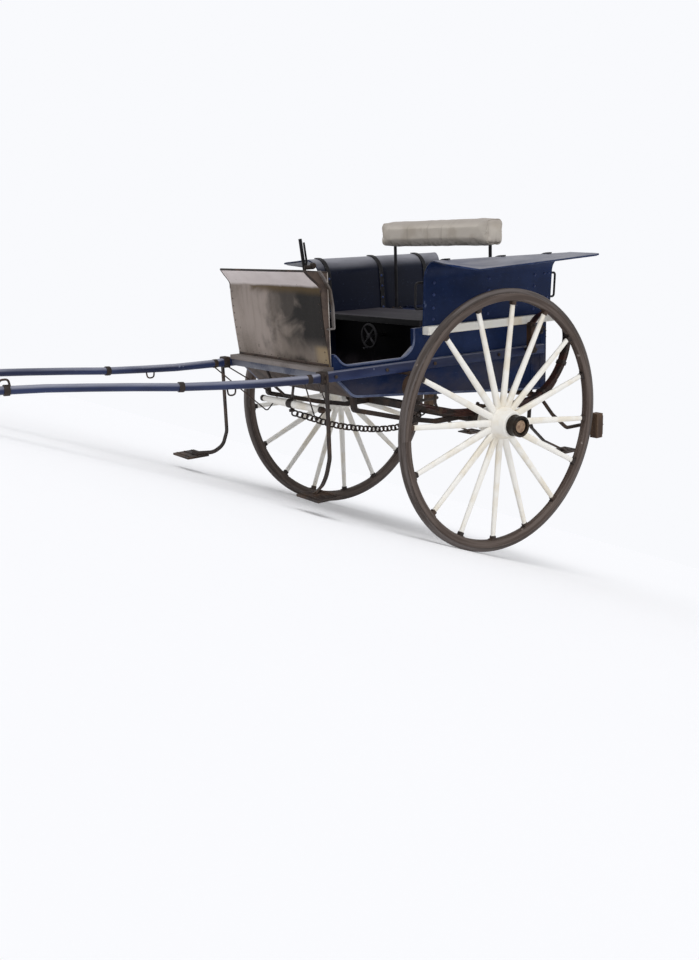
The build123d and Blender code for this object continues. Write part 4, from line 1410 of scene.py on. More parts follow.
@dataclass
class SidePanels(Assembly):
    """The panels that stand on the rails and bend out into wings.

    Attributes:
        parts: how many points of its line are straight, in the bend and level.
        front: (y, x) of its front end.
        sag: (x, drop) of the wing's edge.
    """

    foot: Pair = (447.0, 500.0)
    bend: Pair = (461.0, 728.0)
    rise: float = 95.0
    wing_half: float = 750.0
    thick: float = 9.0
    parts: tuple[int, int, int] = (7, 22, 13)
    front: tuple[Pair, ...] = ((440, 290), (473, 290), (542, 302), (755, 360))
    rear: tuple[Pair, ...] = ((440, -620), (473, -620), (552, -660), (755, -700))
    sag: tuple[Pair, ...] = ((-740, 6), (-160, 31), (190, 44), (360, 16))
    tip_radius: float = 45.0
    ribs: tuple[float, ...] = (-490.0, -150.0, 230.0)
    rib: float = 6.0
    rib_rivets: tuple[float, ...] = (532, 588, 655, 715)
    end_rivets: Pair = (-596, -564)
    end_heights: Pair = (588, 718)
    strip: float = 5.4

    def profile(self) -> tuple[Array, Array]:
        """The panel's middle line in y and z, and the direction square to it.

        It runs straight and leaning, then round a bend of radius r from the lean to
        level, where a point is start + r (cos lean - cos turn, sin turn - sin lean).

        Returns:
            The line's points and the directions.
        """
        straight, curved, level = self.parts
        lean = math.atan2(self.bend[0] - self.foot[0], self.bend[1] - self.foot[1])
        radius = self.rise / (1 - math.sin(lean))
        turn = np.linspace(lean, np.pi / 2, curved)
        y = self.bend[0] + radius * (math.cos(lean) - np.cos(turn))
        z = self.bend[1] + radius * (np.sin(turn) - math.sin(lean))
        share = np.linspace(0, 1, straight + 1)[:-1]
        rising = np.outer(1 - share, self.foot) + np.outer(share, self.bend)
        reach = np.linspace(y[-1], self.wing_half, level + 1)[1:]
        wing = np.stack([reach, np.full(level, z[-1])], -1)
        points = np.concatenate([rising, np.stack([y, z], -1), wing])
        angle = np.concatenate([np.full(straight, lean), turn, np.full(level, np.pi / 2)])
        return points, np.stack([np.cos(angle), -np.sin(angle)], -1)

    def drooped(self, points: Array) -> Array:
        """Points with the wing let down: by its sag at that x, times the way out from the ridge.

        Args:
            points: points of the panel.

        Returns:
            The same points, lower where they are on the wing.
        """
        ridge = self.profile()[0][sum(self.parts[:2]) - 1, 0]
        share = np.clip((points[..., 1] - ridge) / (self.wing_half - ridge), 0, 1)
        drop = share * np.interp(points[..., 0], *np.array(self.sag).T)
        return points - np.stack([drop * 0, drop * 0, drop], -1)

    def ends(self, y: Array) -> tuple[Array, Array]:
        """Where the panel starts and ends in x, with the wing's outer corners rounded.

        A corner is cut by r - sqrt(r^2 - over^2), where over is how far y is past its start.

        Args:
            y: places along the panel's line.

        Returns:
            Its rear and its front ends in x.
        """
        over = np.clip(y - (self.wing_half - self.tip_radius), 0, self.tip_radius)
        cut = self.tip_radius - np.sqrt(np.maximum(self.tip_radius**2 - over**2, 0))
        front = np.interp(y, *np.array(self.front).T) - cut
        rear = np.interp(y, *np.array(self.rear).T) + cut
        return rear, front

    def sheet(self) -> None:
        """One panel as a sheet of even thickness."""
        shell = Shell()
        line, out = self.profile()
        rear, front = self.ends(line[:, 0])
        share = np.linspace(0, 1, 40)[:, None]
        x = rear[None] * (1 - share) + front[None] * share
        middle = np.stack([x, *np.broadcast_arrays(*line.T, x)[:2]], -1)
        square = np.concatenate([np.zeros((len(out), 1)), out], 1)
        thick_sheet(shell, self.drooped(middle), square, self.thick)
        self.pair(shell, "wing_panel", Finishes.BLUE, "blue_paint", "panel")

    def edging(self) -> None:
        """A round iron strip along the wing's free edge and the panel's ends."""
        shell = Shell()
        section = round_section(self.strip, 8)
        line, _ = self.profile()
        rear, front = self.ends(line[:, 0])
        for x in (rear, front):
            path = np.stack([x, line[:, 0], line[:, 1]], -1)
            carry(shell, self.drooped(path)[::2], section, FORWARD)
        outer = [(x[-1], self.wing_half, line[-1, 1]) for x in (rear, front)]
        carry(shell, self.drooped(np.linspace(*outer, 40)), section, UPWARD)
        self.piece(shell.mirrored(), "panel_edging", Finishes.BLUE, "blue_paint")

    def column(self, shell: Shell, x: float, heights: Sequence[float], size: float,
               inside: float = 0) -> None:
        """A column of rivets, which stand square to the panel.

        Args:
            shell: where their surfaces go.
            x: where the column is.
            heights: its rivets' heights.
            size: their radius outside.
            inside: their radius on the rib inside, or nought for none.
        """
        lean = (self.bend[0] - self.foot[0]) / (self.bend[1] - self.foot[1])
        for z in heights:
            y = self.foot[0] + (z - self.foot[1]) * lean
            heads(shell, Head.RIVET, [(x, y + self.thick / 2, z)], (0, 1, -lean), size)
            if inside:
                back = (x, y - self.thick / 2 - self.rib, z)
                heads(shell, Head.RIVET, [back], (0, -1, lean), inside)

    def rivets(self) -> None:
        """Columns of rivets through the ribs and at the rear end."""
        shell = Shell()
        for x in self.ribs:
            self.column(shell, x, self.rib_rivets, 9, 7.5)
        for x in self.end_rivets:
            self.column(shell, x, self.end_heights, 7.5)
        self.piece(shell.mirrored(), "panel_rivets", Finishes.RIVET, "blue_paint")

    def build(self) -> None:
        """Builds both panels, their edging and their rivets."""
        self.sheet()
        self.edging()
        self.rivets()


@dataclass
class Dash(Assembly):
    """The dash: a hide sheet with a lip that leans forward, and a side flap at each end.

    The lip is narrower than the sheet under it. Each flap fills the corner between the
    sheet's edge and an upright line behind it. Places in its section are (x, z).

    Attributes:
        waist: a place that it passes half way up to the bend.
        pull: the two middle points of the lip's curve.
        back: the top of the flap's rear line.
        hollow: how far the sheet's middle lies behind its edges.
    """

    slot: str = "dash_leather"
    half: float = 422.0
    lip_half: float = 393.0
    foot: Pair = (858.0, 352.0)
    waist: Pair = (886.0, 585.0)
    bend: Pair = (893.0, 718.0)
    pull: tuple[Pair, Pair] = ((896.0, 750.0), (924.0, 757.0))
    lip: Pair = (962.0, 808.0)
    back: Pair = (853.0, 797.0)
    thick: float = 9.0
    straight: int = 14
    curved: int = 20
    hollow: float = 5.0
    bow: float = 2.5
    side_studs: Pair = (385, 690)
    foot_studs: Pair = (374, 390)

    def profile(self) -> Array:
        """The sheet's line in x and z: a slight bow up to the bend, then a cubic to the lip.

        The bow is (1-s)^2 foot + 2s(1-s) middle + s^2 bend. The cubic is (1-t)^3 bend +
        3t(1-t)^2 first pull + 3t^2(1-t) second pull + t^3 lip.

        Returns:
            The line's points from the foot to the lip.
        """
        share = np.linspace(0, 1, self.straight + 1)[:-1, None]
        way = (np.array(self.waist) - self.foot) * 2 - (np.array(self.bend) - self.foot) / 2
        middle = np.array(self.foot) + way
        run = ((1 - share) ** 2 * self.foot + 2 * share * (1 - share) * middle
               + share**2 * np.array(self.bend))
        t = np.linspace(0, 1, self.curved)[:, None]
        curve = ((1 - t) ** 3 * self.bend + 3 * t * (1 - t) ** 2 * np.array(self.pull[0])
                 + 3 * t**2 * (1 - t) * np.array(self.pull[1]) + t**3 * np.array(self.lip))
        return np.concatenate([run, curve])

    def halves(self) -> Array:
        """Half the sheet's width at each point of its line."""
        lip = self.half - (self.half - self.lip_half) * np.linspace(0, 1, self.curved)
        return np.concatenate([np.full(self.straight, self.half), lip])

    def edge(self, way: int) -> Array:
        """The sheet's edge on the left (1) or on the right (-1)."""
        line = self.profile()
        return np.stack([line[:, 0], way * self.halves(), line[:, 1]], -1)

    def sheet(self) -> None:
        """The hide, hollowed between its side edges by 1 - across^2 and a sine up its line."""
        shell = Shell()
        line = self.profile()
        across = np.linspace(-1, 1, 33)
        rise = np.sin(np.pi * np.linspace(0, 1, len(line)))[None]
        x = line[None, :, 0] - self.hollow * (1 - across[:, None] ** 2) * rise
        y = across[:, None] * self.halves()[None]
        z = np.broadcast_to(line[None, :, 1], x.shape)
        run = unit(np.gradient(line, axis=0))
        square = np.stack([run[:, 1], run[:, 0] * 0, -run[:, 0]], -1)
        thick_sheet(shell, np.stack([x, y, z], -1), square, self.thick)
        self.piece(shell, "dash_sheet", Finishes.DASH, self.slot, "dash", sharp=50)

    def binding(self) -> None:
        """A dark rolled edge up the curve at both sides and along the lip."""
        shell = Shell()
        for way in (-1, 1):
            carry(shell, self.edge(way)[self.straight - 1:], box_section(8, 13, 3.8), TO_LEFT)
        ends = [(self.lip[0], way * (self.lip_half + 3), self.lip[1]) for way in (-1, 1)]
        carry(shell, np.linspace(*ends, 20), round_section(5.6, 12), UPWARD)
        self.piece(shell, "dash_binding", Finishes.IRON, self.slot)

    def upright(self) -> Array:
        """The left flap's rear line, beside each point of the sheet's edge.

        Returns:
            Its points from the foot to the top.
        """
        line = self.profile()
        height = line[:, 1].copy()
        over = np.linspace(0, 1, self.curved)
        height[self.straight:] = self.bend[1] + over * (self.back[1] - self.bend[1])
        x, y = (np.full(len(line), value) for value in (self.back[0], self.half - 1))
        return np.stack([x, y, height], -1)

    def piping(self) -> None:
        """A pale strip up the rear line of each flap."""
        shell = Shell()
        carry(shell, self.upright(), box_section(8, 6, 2.4), TO_LEFT)
        self.piece(shell.mirrored(), "dash_piping", Finishes.PALE_HIDE, self.slot)

    def flaps(self) -> None:
        """A sheet of hide from each edge to its rear line, and a strip along the foot.

        A flap is (1 - s) edge + s rear line, bowed outward by a sine of s.
        """
        shell = Shell()
        share = np.linspace(0, 1, 10)[:, None, None]
        flat = (1 - share) * self.edge(1)[None] + share * self.upright()[None]
        middle = flat + self.bow * np.sin(np.pi * share) * np.array(TO_LEFT)
        thick_sheet(shell, middle, TO_LEFT, 4)
        shell.mirrored()
        x, z = self.foot[0] + self.thick / 2 + 1, self.foot[1] + 8
        ends = [(x, way * self.half, z) for way in (-1, 1)]
        carry(shell, np.linspace(*ends, 8), box_section(3, 13, 1.2), FORWARD)
        self.piece(shell, "dash_flaps", Finishes.GUSSET, self.slot)

    def top_irons(self) -> None:
        """The iron that closes each flap at its top, from the rear line to the lip."""
        shell = Shell()
        ends = [(self.back[0], self.half - 1, self.back[1]),
                (self.lip[0] - 3, self.lip_half, self.lip[1])]
        carry(shell, np.linspace(*ends, 6), round_section(4.6, 10), TO_LEFT)
        self.piece(shell.mirrored(), "dash_top_irons", Finishes.IRON, self.slot)

    def studs(self) -> None:
        """Nails along the side edges and along the foot."""
        shell = Shell()
        line = self.profile()
        face, out = self.thick / 2, (1, 0, -0.1)
        for z in np.linspace(*self.side_studs, 9):
            x = float(np.interp(z, line[:, 1], line[:, 0])) + face
            places = [(x, way * (self.half - 17), z) for way in (-1, 1)]
            heads(shell, Head.RIVET, places, out, 3.6)
        z, reach = self.foot_studs
        places = [(self.foot[0] + face + 1, y, z) for y in np.linspace(-reach, reach, 14)]
        heads(shell, Head.RIVET, places, out, 4)
        self.piece(shell, "dash_studs", Finishes.IRON, self.slot)

    def build(self) -> None:
        """Builds the sheet in the place of the plain one, then its edges and corners."""
        self.sheet()
        self.binding()
        self.piping()
        self.flaps()
        self.top_irons()
        self.studs()


@dataclass
class BackRoll(Assembly):
    """The padded roll between the two seats, swelled by a cloth simulation.

    Attributes:
        swell: how far a point may move while it swells.
        seam_depth: how deep a seam draws the cover in.
        cord_reach: how far from a seam the cover is measured for its cord.
    """

    middle: Triple = (-212.0, 0.0, 951.0)
    half: Triple = (55.0, 453.0, 64.0)
    corner: float = 22.0
    voxel: float = 6.0
    swell: float = 9.0
    pressure: float = 4.0
    stiffness: float = 20.0
    frames: int = 20
    seams: tuple[float, ...] = (-438.0, 140.0, 438.0)
    seam_width: float = 5.0
    seam_depth: float = 2.2
    wave: float = 0.7
    ripples: Triple = (23.0, 61.0, 15.0)
    drift: float = 2.1
    cord: float = 3.2
    cord_steps: int = 96
    cord_reach: float = 7.0

    @staticmethod
    def points(piece: bpy.types.Object) -> Array:
        """Where a piece's points are, in metres of the parked carriage."""
        return np.array([v.co for v in piece.data.vertices])

    @staticmethod
    def move(piece: bpy.types.Object, points: Array) -> None:
        """Sets a piece's points, in metres of the parked carriage."""
        piece.data.vertices.foreach_set("co", points.astype(np.float32).ravel())

    @staticmethod
    def unparked(points: Array) -> Array:
        """Parked metres as level millimetres, the reverse of Parking.place."""
        back = points / MM + [PARKING.centre_x, 0, PARKING.floor_z]
        return back @ PARKING.matrix()

    def centre(self) -> Array:
        """The roll's middle, in metres of the parked carriage."""
        return PARKING.place(np.array([self.middle]))[0]

    def blank(self) -> bpy.types.Object:
        """The roll before it swells, a little smaller than its cover, in even small faces.

        Returns:
            Its object.
        """
        shell = Shell()
        lump(shell, self.middle, self.half, self.corner, steps=6)
        piece = self.piece(shell, "back_roll", Finishes.CANVAS, "canvas")
        bpy.context.view_layer.objects.active = piece
        change = piece.modifiers.new("even", "REMESH")
        change.mode = "VOXEL"
        change.voxel_size = self.voxel * MM
        bpy.ops.object.modifier_apply(modifier=change.name)
        return piece

    def puff(self, piece: bpy.types.Object) -> None:
        """Blows the cover up as cloth, and caps how far any point moves.

        Args:
            piece: the roll.
        """
        rest = self.points(piece)
        cloth = piece.modifiers.new("cover", "CLOTH")
        cloth.settings.use_pressure = True
        cloth.settings.uniform_pressure_force = self.pressure
        cloth.settings.effector_weights.gravity = 0
        cloth.settings.tension_stiffness = self.stiffness
        cloth.settings.compression_stiffness = self.stiffness
        scene = bpy.context.scene
        for number in range(1, self.frames + 1):
            scene.frame_set(number)
        bpy.context.view_layer.objects.active = piece
        bpy.ops.object.modifier_apply(modifier=cloth.name)
        scene.frame_set(1)
        moved = self.points(piece) - rest
        size = np.linalg.norm(moved, axis=1, keepdims=True)
        limit = self.swell * MM
        self.move(piece, rest + moved * np.minimum(1, limit / np.maximum(size, 1e-9)))

    def settle(self, piece: bpy.types.Object) -> None:
        """Draws the cover in at its seams and creases it a little between them.

        The seams pull a point toward the roll's middle by a bell curve of its distance,
        and shallow waves along y, which drift and change with height, sink the cover.

        Args:
            piece: the roll.
        """
        points = self.points(piece)
        away = (points - self.centre()) * [1, 0, 1]
        y = points[:, 1] / MM
        bells = (np.exp(-(((y - seam) / self.seam_width) ** 2)) for seam in self.seams)
        pull = sum(bells) * self.seam_depth
        short, long, upward = self.ripples
        along = np.sin(y / short + self.drift * np.sin(y / long))
        waves = self.wave * along * np.sin(away[:, 2] / MM / upward)
        self.move(piece, points - unit(away) * ((pull + waves) * MM)[:, None])
        piece.data.update()

    def cord_line(self, points: Array, seam: float) -> Array:
        """The line of one end's cord, on the cover.

        At each of its angles about the roll it takes the farthest point of the cover near
        the seam, fills angles that have none, and smooths that over three of them.

        Args:
            points: the cover's points, in metres.
            seam: the seam's place in y.

        Returns:
            A closed run of points, in metres.
        """
        count, centre = self.cord_steps, self.centre()
        away = points[np.abs(points[:, 1] - seam * MM) < self.cord_reach * MM] - centre
        angle = (np.arctan2(away[:, 2], away[:, 0]) / (2 * np.pi) * count).astype(int) % count
        reach = np.zeros(count)
        np.maximum.at(reach, angle, np.hypot(away[:, 0], away[:, 2]))
        filled = np.interp(np.arange(count), np.flatnonzero(reach), reach[reach > 0],
                           period=count)
        smooth = (np.roll(filled, 1) + filled + np.roll(filled, -1)) / 3
        turn = (np.arange(count + 1) + 0.5) / count * 2 * np.pi
        reach = np.append(smooth, smooth[0])
        return np.stack([centre[0] + reach * np.cos(turn), np.full(count + 1, seam * MM),
                         centre[2] + reach * np.sin(turn)], -1)

    def piping(self, piece: bpy.types.Object) -> None:
        """A cord along the seam at each end, which follows the swelled cover.

        Args:
            piece: the roll.
        """
        points = self.points(piece)
        section = round_section(self.cord * MM, 8)
        shell = Shell(self.unparked)
        for seam in (self.seams[0], self.seams[-1]):
            carry(shell, self.cord_line(points, seam), section, TO_LEFT, caps=False)
        made = self.piece(shell, "back_roll_piping", Finishes.CANVAS, "canvas")

    def build(self) -> None:
        """Builds the roll in the place of its plain solid."""
        piece = self.blank()
        self.puff(piece)
        self.settle(piece)
        piece.data.shade_smooth()
        soft = piece.modifiers.new("smooth", "SUBSURF")
        soft.levels = soft.render_levels = 1
        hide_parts("backrest_cushion")
        self.piping(piece)


@dataclass
class Chain(Assembly):
    """The chain that hangs from the swingletree's bolt to the axle, link by link.

    Attributes:
        facing: the direction square to the plane that all links lie near.
        lean: how far a link leans out of that plane, in degrees.
    """

    route: tuple[Triple, ...] = (
        (815, 4, 74), (760, 60, 52), (620, 84, -8), (480, 96, -44),
        (340, 100, -70), (200, 101, -80), (100, 102, -62), (18, 102, -18),
    )
    pitch: float = 27.0
    half_length: float = 20.5
    half_width: float = 19.5
    wire: float = 4.6
    stadium: float = 0.7
    facing: Triple = (0.578, 0.795, 0.183)
    lean: float = 26.0

    def template(self) -> Array:
        """One link in its own (along, across, square) directions.

        Its line is (a cos, b sin) with both drawn toward a stadium by a power, and a
        circle of the wire's size goes round that line.

        Returns:
            A closed grid of points.
        """
        turn = np.linspace(0, 2 * np.pi, 25)
        halves = ((self.half_length, np.cos(turn)), (self.half_width, np.sin(turn)))
        flat = np.stack([(half - self.wire) * np.sign(wave) * np.abs(wave) ** self.stadium
                         for half, wave in halves], -1)
        inner = np.roll(flat[:-1], -1, 0) - np.roll(flat[:-1], 1, 0)
        run = unit(np.concatenate([inner, inner[:1]]))
        out = np.stack([run[:, 1], -run[:, 0]], -1)
        ring = np.linspace(0, 2 * np.pi, 9)
        wide = self.wire * np.cos(ring)[None, :, None] * out[:, None]
        high = np.broadcast_to(self.wire * np.sin(ring)[None, :, None], (*wide.shape[:2], 1))
        return np.concatenate([flat[:, None] + wide, high], -1)

    def build(self) -> None:
        """Sets the links along the route, leaning by turns to one side and the other.

        They lie near one plane, as those of a curb chain do, and facing is square to it.
        """
        path = bent(self.route, 60, 9)
        far = running(path)
        stops = np.arange(self.pitch / 2, far[-1], self.pitch)
        middles = np.stack([np.interp(stops, far, path[:, k]) for k in range(3)], -1)
        runs = unit(np.gradient(middles, axis=0))
        template = self.template()
        shell = Shell()
        for number, (middle, run) in enumerate(zip(middles, runs)):
            side = unit(np.cross(run, self.facing))
            up = np.cross(side, run)
            tilt = math.radians(self.lean * (1 if number % 2 else -1))
            across = math.cos(tilt) * side + math.sin(tilt) * up
            shell.grid(template @ np.stack([run, across, np.cross(run, across)]) + middle)
        self.piece(shell, "chain_links", Finishes.IRON, "black_iron", "chain", sharp=60)


@dataclass
class BodyTrim(Assembly):
    """Beads, corner strips, hasp and latches of the body, its bolts and the brake's irons.

    Attributes:
        bolts: rows of nuts on the left, as places, direction and size.
    """

    outer: float = 440.0
    doorway: tuple[Pair, ...] = (
        (845, 406), (835, 405), (787, 350), (416, 350), (347, 403), (347, 494),
    )
    bottom: tuple[Pair, ...] = ((-588, 81), (738, 196), (846, 304))
    bolts: tuple[tuple[tuple[Triple, ...], Triple, float], ...] = (
        (((400, 512, 278), (440, 512, 278)), DOWNWARD, 8),
        (((400, 512, 288), (440, 512, 288)), UPWARD, 7),
        (((-194, 400, 524), (-246, 400, 524)), UPWARD, 6),
        (((14, 400, 10),), (1, 0, 0.4), 9),
        (((-514, 405, 60),), FORWARD, 7),
        (((-520, 318, 58), (-520, 342, 58)), DOWNWARD, 7),
    )
    treads: tuple[float, ...] = (1050, 1095, 1140)
    block: Triple = (-754, 713.5, -115)
    block_nuts: Pair = (-158, -72)
    pivot: Pair = (296, 240)
    sector: Pair = (478, 500)
    sector_ends: Pair = (80, 98)
    teeth_steps: int = 73
    tooth: float = 10.0
    sector_bolts: Pair = (246, 272)
    sector_z: float = 730.0

    def beads(self) -> None:
        """A bead along the edge of the doorway and one along the bottom edge."""
        shell = Shell()
        for line, width, corner in ((self.doorway, 10, 45), (self.bottom, 12, 30)):
            path = bent([(x, self.outer + 0.5, z) for x, z in line], corner, 9)
            carry(shell, path, box_section(7, width, 2.6), TO_LEFT)
        self.piece(shell.mirrored(), "doorway_beads", Finishes.BEAD, "blue_paint")

    def rear(self) -> None:
        """Corner strips and a line of trim on the rear board, thin under the tailboard."""
        shell = Shell()
        lump(shell, (-591, 428, 288), (1.8, 12, 208), 1, steps=2)
        lump(shell, (-500, 441, 288), (10, 2.2, 176), 1.5, steps=2)
        lump(shell, (-576, 441.5, 288), (14, 2.2, 208), 1.5, steps=2)
        shell.mirrored()
        lump(shell, (-591, 0, 478), (2, 416, 4), 1.5, steps=2)
        self.piece(shell, "corner_strips", Finishes.BLUE, "blue_paint")

    def rear_irons(self) -> None:
        """A latch at each rear corner, and the lid's hasp with its staple and its ring."""
        shell = Shell()
        lump(shell, (-566, 445, 418), (11, 3, 30), 2)
        lump(shell, (-566, 450, 402), (4, 8, 4), 2)
        hook = [(-566, 447, 436), (-574, 458, 424), (-588, 458, 404)]
        carry(shell, bent(hook, 10), round_section(4, 8), TO_LEFT)
        heads(shell, Head.RIVET, [(-566, 448, 442)], TO_LEFT, 4.5)
        shell.mirrored()
        lump(shell, (-614, 0, 496), (2.4, 17, 30), 1.5)
        lump(shell, (-606, 0, 525.5), (12, 17, 2), 1.2, steps=2)
        staple = [(-618, -9, 490), (-626, -9, 470), (-626, 9, 470), (-618, 9, 490)]
        carry(shell, bent(staple, 8), round_section(3, 8), FORWARD)
        ring = [(-5, 6), (-5, 11), (-3, 13), (3, 13), (5, 11), (5, 6)]
        lathe(shell, ring, (-622, 0, 463), FORWARD, 16)
        heads(shell, Head.RIVET, [(-616, y, 516) for y in (-10, 10)], BACKWARD, 4)
        self.piece(shell, "hasp_and_latches", Finishes.IRON, "black_iron")

    def bolt_heads(self) -> None:
        """Bolt heads of the hangers, stays, steps and posts, and the steps' ribs."""
        shell = Shell()
        for places, out, size in self.bolts:
            heads(shell, Head.NUT, places, out, size)
        for x in self.treads:
            lump(shell, (x, 630, -197.5), (3, 82, 2.4), 1.5, steps=2)
        self.piece(shell.mirrored(), "frame_bolts", Finishes.IRON, "black_iron")

    def brake_irons(self) -> None:
        """The brake blocks' backs and nuts, and the lever's toothed sector, pawl and roller.

        The sector's outer edge is a circle about its pivot, plus a saw of the tooth's depth.
        """
        shell = Shell()
        x, y, z = self.block
        lump(shell, self.block, (4.5, 21, 54), 2)
        heads(shell, Head.NUT, [(x - 4, y, z)], BACKWARD, 15)
        heads(shell, Head.NUT, [(x - 4, y, height) for height in self.block_nuts], BACKWARD, 7)
        shell.mirrored()
        turn = np.radians(np.linspace(*self.sector_ends, self.teeth_steps))
        saw = np.abs((np.arange(self.teeth_steps) / 4) % 1 - 0.5) * self.tooth
        inner, outer = self.sector
        arcs = [np.stack([self.pivot[0] + r * np.cos(turn), turn * 0,
                          self.pivot[1] + r * np.sin(turn)], -1) for r in (inner, outer + saw)]
        thick_sheet(shell, np.stack(arcs) + [0, -484, 0], TO_LEFT, 6)
        for x in self.sector_bolts:
            lathe(shell, [(-8, 6), (12, 6)], (x, -478, self.sector_z), TO_LEFT, 12)
            heads(shell, Head.NUT, [(x, -487, self.sector_z)], TO_RIGHT, 9)
        lump(shell, (338, -492, 786), (34, 8, 12), 4)
        roller = [(-12, 15), (-9, 17), (9, 17), (12, 15)]
        lathe(shell, roller, (312, -490, 794), TO_LEFT, 20)
        self.piece(shell, "brake_irons", Finishes.IRON, "black_iron")

    def build(self) -> None:
        """Builds all trim of the body."""
        self.beads()
        self.rear()
        self.rear_irons()
        self.bolt_heads()
        self.brake_irons()


@dataclass
class Tailboard(Assembly):
    """Details that move with the tailboard."""

    outer_x: float = -618.0
    low: float = 81.0
    high: float = 456.0
    bolt_y: float = 352.0
    bolt_z: float = 366.0
    strap_y: float = 270.0
    strap_bolts: Triple = (130, 240, 350)

    def battens(self) -> None:
        """Battens at its sides and along its top."""
        shell = Shell()
        x = self.outer_x - 4
        lump(shell, (x, 0, self.high - 26), (5, 426, 17), 2.5, steps=2)
        for y in (-410, 410):
            lump(shell, (x, y, (self.low + self.high) / 2 - 12), (5, 15, 166), 2.5, steps=2)
        self.piece(shell, "tailboard_battens", Finishes.BLUE, "blue_paint", body=Body.TAILBOARD)

    def irons(self) -> None:
        """On each side a slide bolt with its plate, keepers and handle, and a strap's bolts."""
        shell = Shell()
        for way in (-1, 1):
            x, y, z = self.outer_x, way * self.bolt_y, self.bolt_z
            lump(shell, (x - 2, y, z), (3, 44, 17), 2, steps=2)
            rod = [(x - 11, y - way * 60, z), (x - 11, y + way * 66, z)]
            carry(shell, rod, round_section(6, 12), UPWARD)
            for reach in (-26, 26):
                lump(shell, (x - 10, y + reach, z), (8, 6, 11), 2, steps=2)
            handle = [(x - 12, y, z), (x - 30, y, z), (x - 34, y, z - 16)]
            carry(shell, bent(handle, 6), round_section(4.5, 10), TO_LEFT)
            nails = [(x - 4, y + side, z + rise) for side in (-37, 37) for rise in (-10, 10)]
            heads(shell, Head.RIVET, nails, BACKWARD, 3.6)
            bolts = [(x - 7, way * self.strap_y, height) for height in self.strap_bolts]
            heads(shell, Head.NUT, bolts, BACKWARD, 8)
        self.piece(shell, "tailboard_irons", Finishes.IRON, "black_iron", body=Body.TAILBOARD)

    def build(self) -> None:
        """Builds the battens in wood, then the irons."""
        self.battens()
        self.irons()


@dataclass
class CadDress:
    """Gives each CAD node that stays in sight its finish."""

    finishes: Finishes

    def table(self) -> dict[str, Finish]:
        """The finish of each node, where it isn't plain dark iron.

        Returns:
            Finishes by the node's name.
        """
        kinds = Finishes
        chosen = {
            "floor_board": kinds.INSIDE, "toe_board": kinds.GUSSET, "heel_board": kinds.INSIDE,
            "rear_board": kinds.BLUE, "tailboard": kinds.BLUE, "front_crossbar": kinds.CROSSBAR,
            "rear_seat": kinds.LID, "middle_board": kinds.LID, "front_seat": kinds.SEAT,
            "dash_foot": kinds.LEDGE, "dash_irons": kinds.PALE_IRON, "brake_blocks": kinds.BLOCK,
            "leather_braces": kinds.LEATHER, "swingletree": kinds.CREAM,
            "brake_lever": kinds.BLACK, "hand_wheel": kinds.BLACK, "backrest_posts": kinds.BLACK,
        }
        for side in Side:
            chosen[f"{side.word}_side_board"] = kinds.BLUE
            chosen[f"{side.word}_rail"] = kinds.RAIL
            chosen[f"{side.word}_panel_irons"] = kinds.BLACK
        return chosen

    def build(self, nodes: dict[str, bpy.types.Object]) -> None:
        """Puts a finish on every node.

        Args:
            nodes: the CAD nodes by name.
        """
        chosen = self.table()
        for name, node in nodes.items():
            node.data.materials.clear()
            node.data.materials.append(self.finishes.get(chosen.get(name, Finishes.IRON)))
        log.info("dressed %d nodes", len(nodes))


@dataclass(frozen=True)
class Lamp:
    """A broad soft lamp.

    Attributes:
        lean: how far from overhead it stands, in degrees.
        turn: the side that it shines from, in degrees from straight ahead.
    """

    name: str
    strength: float
    spread: float
    lean: float
    turn: float

    def build(self) -> None:
        """Puts the lamp in the scene."""
        lamp = bpy.data.lights.new(self.name, "SUN")
        lamp.energy = self.strength
        lamp.angle = math.radians(self.spread)
        rig = bpy.data.objects.new(self.name, lamp)
        rig.rotation_euler = (math.radians(self.lean), 0, math.radians(self.turn + 90))
        bpy.context.scene.collection.objects.link(rig)


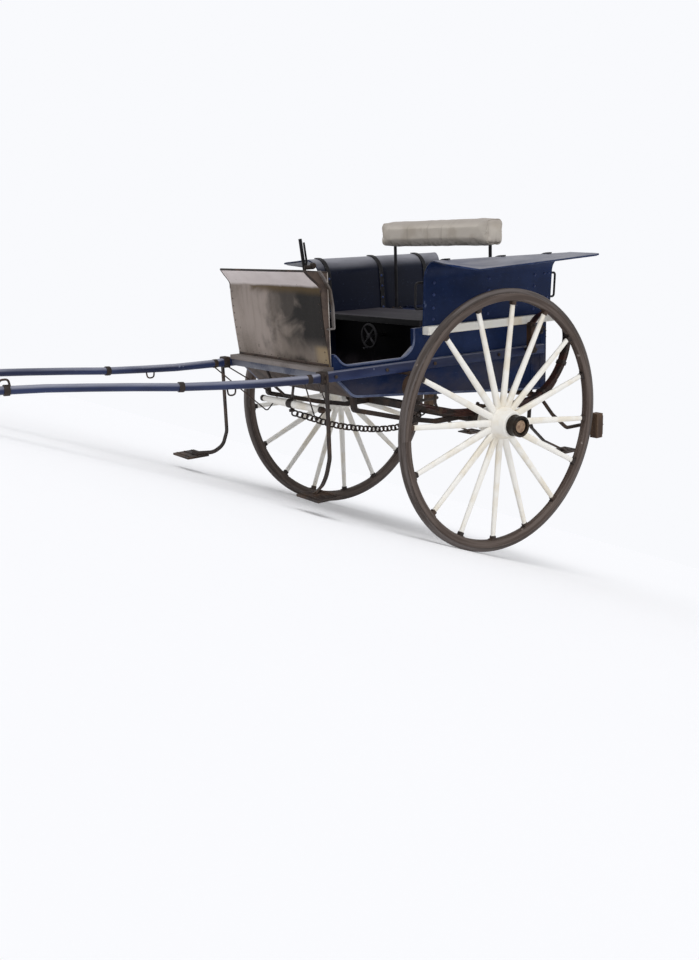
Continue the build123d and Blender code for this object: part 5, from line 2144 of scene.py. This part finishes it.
@dataclass(frozen=True)
class Studio:
    """The camera, the pale floor and plain soft light.

    The camera's place and angles are those of the photograph, measured with the carriage
    level.

    Attributes:
        lift: how much of its own light the floor shows the camera.
        backdrop: the colour that the camera sees behind the floor.
    """

    place: Triple = (3664.0, 4440.0, 999.0)
    azimuth: float = math.radians(54.2)
    elevation: float = math.radians(13.84)
    roll: float = math.radians(-2.04)
    focal: float = 1025.0
    picture_height: float = 960.0
    sensor: float = 36.0
    floor_size: float = 60.0
    floor_tones: tuple[Triple, Triple] = ((0.93, 0.93, 0.95), (0.95, 0.95, 0.965))
    lift: float = 0.08
    sky: float = 0.62
    sky_colour: Triple = (0.97, 0.98, 1.0)
    backdrop: Triple = (0.947, 0.955, 0.982)
    lamps: tuple[Lamp, ...] = (Lamp("key", 1.15, 40, 42, 38), Lamp("fill", 0.35, 60, 55, 140))

    def camera(self) -> None:
        """Sets the camera up: back points from the carriage to it, right and up follow."""
        az, el = self.azimuth, self.elevation
        back = np.array([math.cos(az) * math.cos(el), math.sin(az) * math.cos(el), math.sin(el)])
        right = unit(np.cross(UPWARD, back))
        up = np.cross(back, right)
        c, s = math.cos(self.roll), math.sin(self.roll)
        axes = [c * right + s * up, c * up - s * right, back]
        turned = np.eye(4)
        turned[:3, :3] = np.stack([PARKING.turn(a) for a in axes], -1)
        turned[:3, 3] = PARKING.place(np.array([self.place]))[0]
        data = bpy.data.cameras.new("photograph")
        data.sensor_width = self.sensor
        data.lens = self.sensor * self.focal / self.picture_height
        camera = bpy.data.objects.new("photograph", data)
        camera.matrix_world = Matrix(turned.tolist())
        bpy.context.scene.collection.objects.link(camera)
        bpy.context.scene.camera = camera

    def floor(self) -> None:
        """A wide pale floor that takes the carriage's shadow."""
        half = self.floor_size / 2
        mesh = bpy.data.meshes.new("floor")
        mesh.from_pydata([(-half, -half, 0), (half, -half, 0), (half, half, 0), (-half, half, 0)],
                         [], [(0, 1, 2, 3)])
        tree = Tree("floor_pale")
        tree.surface(tree.blend(tree.noise(0.7, detail=2), *self.floor_tones), 0.9)
        tree.constants(Specular_IOR_Level=0.0)
        seen = tree.most(tree.node("LightPath", {}, "Is Camera Ray"),
                         tree.node("LightPath", {}, "Is Glossy Ray"))
        tree.put(tree.shader.inputs["Emission Color"], (1.0, 1.0, 1.0))
        tree.put(tree.shader.inputs["Emission Strength"], tree.times(seen, self.lift))
        mesh.materials.append(tree.material)
        floor = bpy.data.objects.new("floor", mesh)
        bpy.context.scene.collection.objects.link(floor)
        floor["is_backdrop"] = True

    def light(self) -> None:
        """An even pale sky, white to the camera, and the lamps."""
        world = bpy.data.worlds.new("studio")
        world.use_nodes = True
        nodes, links = world.node_tree.nodes, world.node_tree.links
        sky = nodes["Background"]
        sky.inputs["Color"].default_value = (*self.sky_colour, 1)
        sky.inputs["Strength"].default_value = self.sky
        plain = nodes.new("ShaderNodeBackground")
        plain.inputs["Color"].default_value = (*self.backdrop, 1)
        path = nodes.new("ShaderNodeLightPath")
        mix = nodes.new("ShaderNodeMixShader")
        links.new(path.outputs["Is Camera Ray"], mix.inputs[0])
        links.new(sky.outputs[0], mix.inputs[1])
        links.new(plain.outputs[0], mix.inputs[2])
        links.new(mix.outputs[0], nodes["World Output"].inputs[0])
        bpy.context.scene.world = world
        for lamp in self.lamps:
            lamp.build()

    def build(self) -> None:
        """Builds the studio round the carriage."""
        self.camera()
        self.floor()
        self.light()
        bpy.context.scene.view_settings.view_transform = "Standard"


def corners() -> list[list[float]]:
    """The lowest and highest corner of what is shown, as plain numbers."""
    return [[float(v) for v in corner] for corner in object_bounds()]


def main() -> None:
    """Builds the carriage's looks in order."""
    logging.basicConfig(level=logging.INFO, format="%(name)s %(message)s")
    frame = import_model()
    Studio().build()
    finishes = Finishes()
    CadDress(finishes).build(frame["nodes"])
    for part in (Wheel(finishes, Side.LEFT, 17.0), Wheel(finishes, Side.RIGHT, 0.4),
                 Springs(finishes), Shafts(finishes), SidePanels(finishes), Dash(finishes),
                 Chain(finishes), BodyTrim(finishes), Tailboard(finishes), BackRoll(finishes)):
        part.build()
        log.info("built %s", type(part).__name__)


if __name__ == "__main__":
    main()
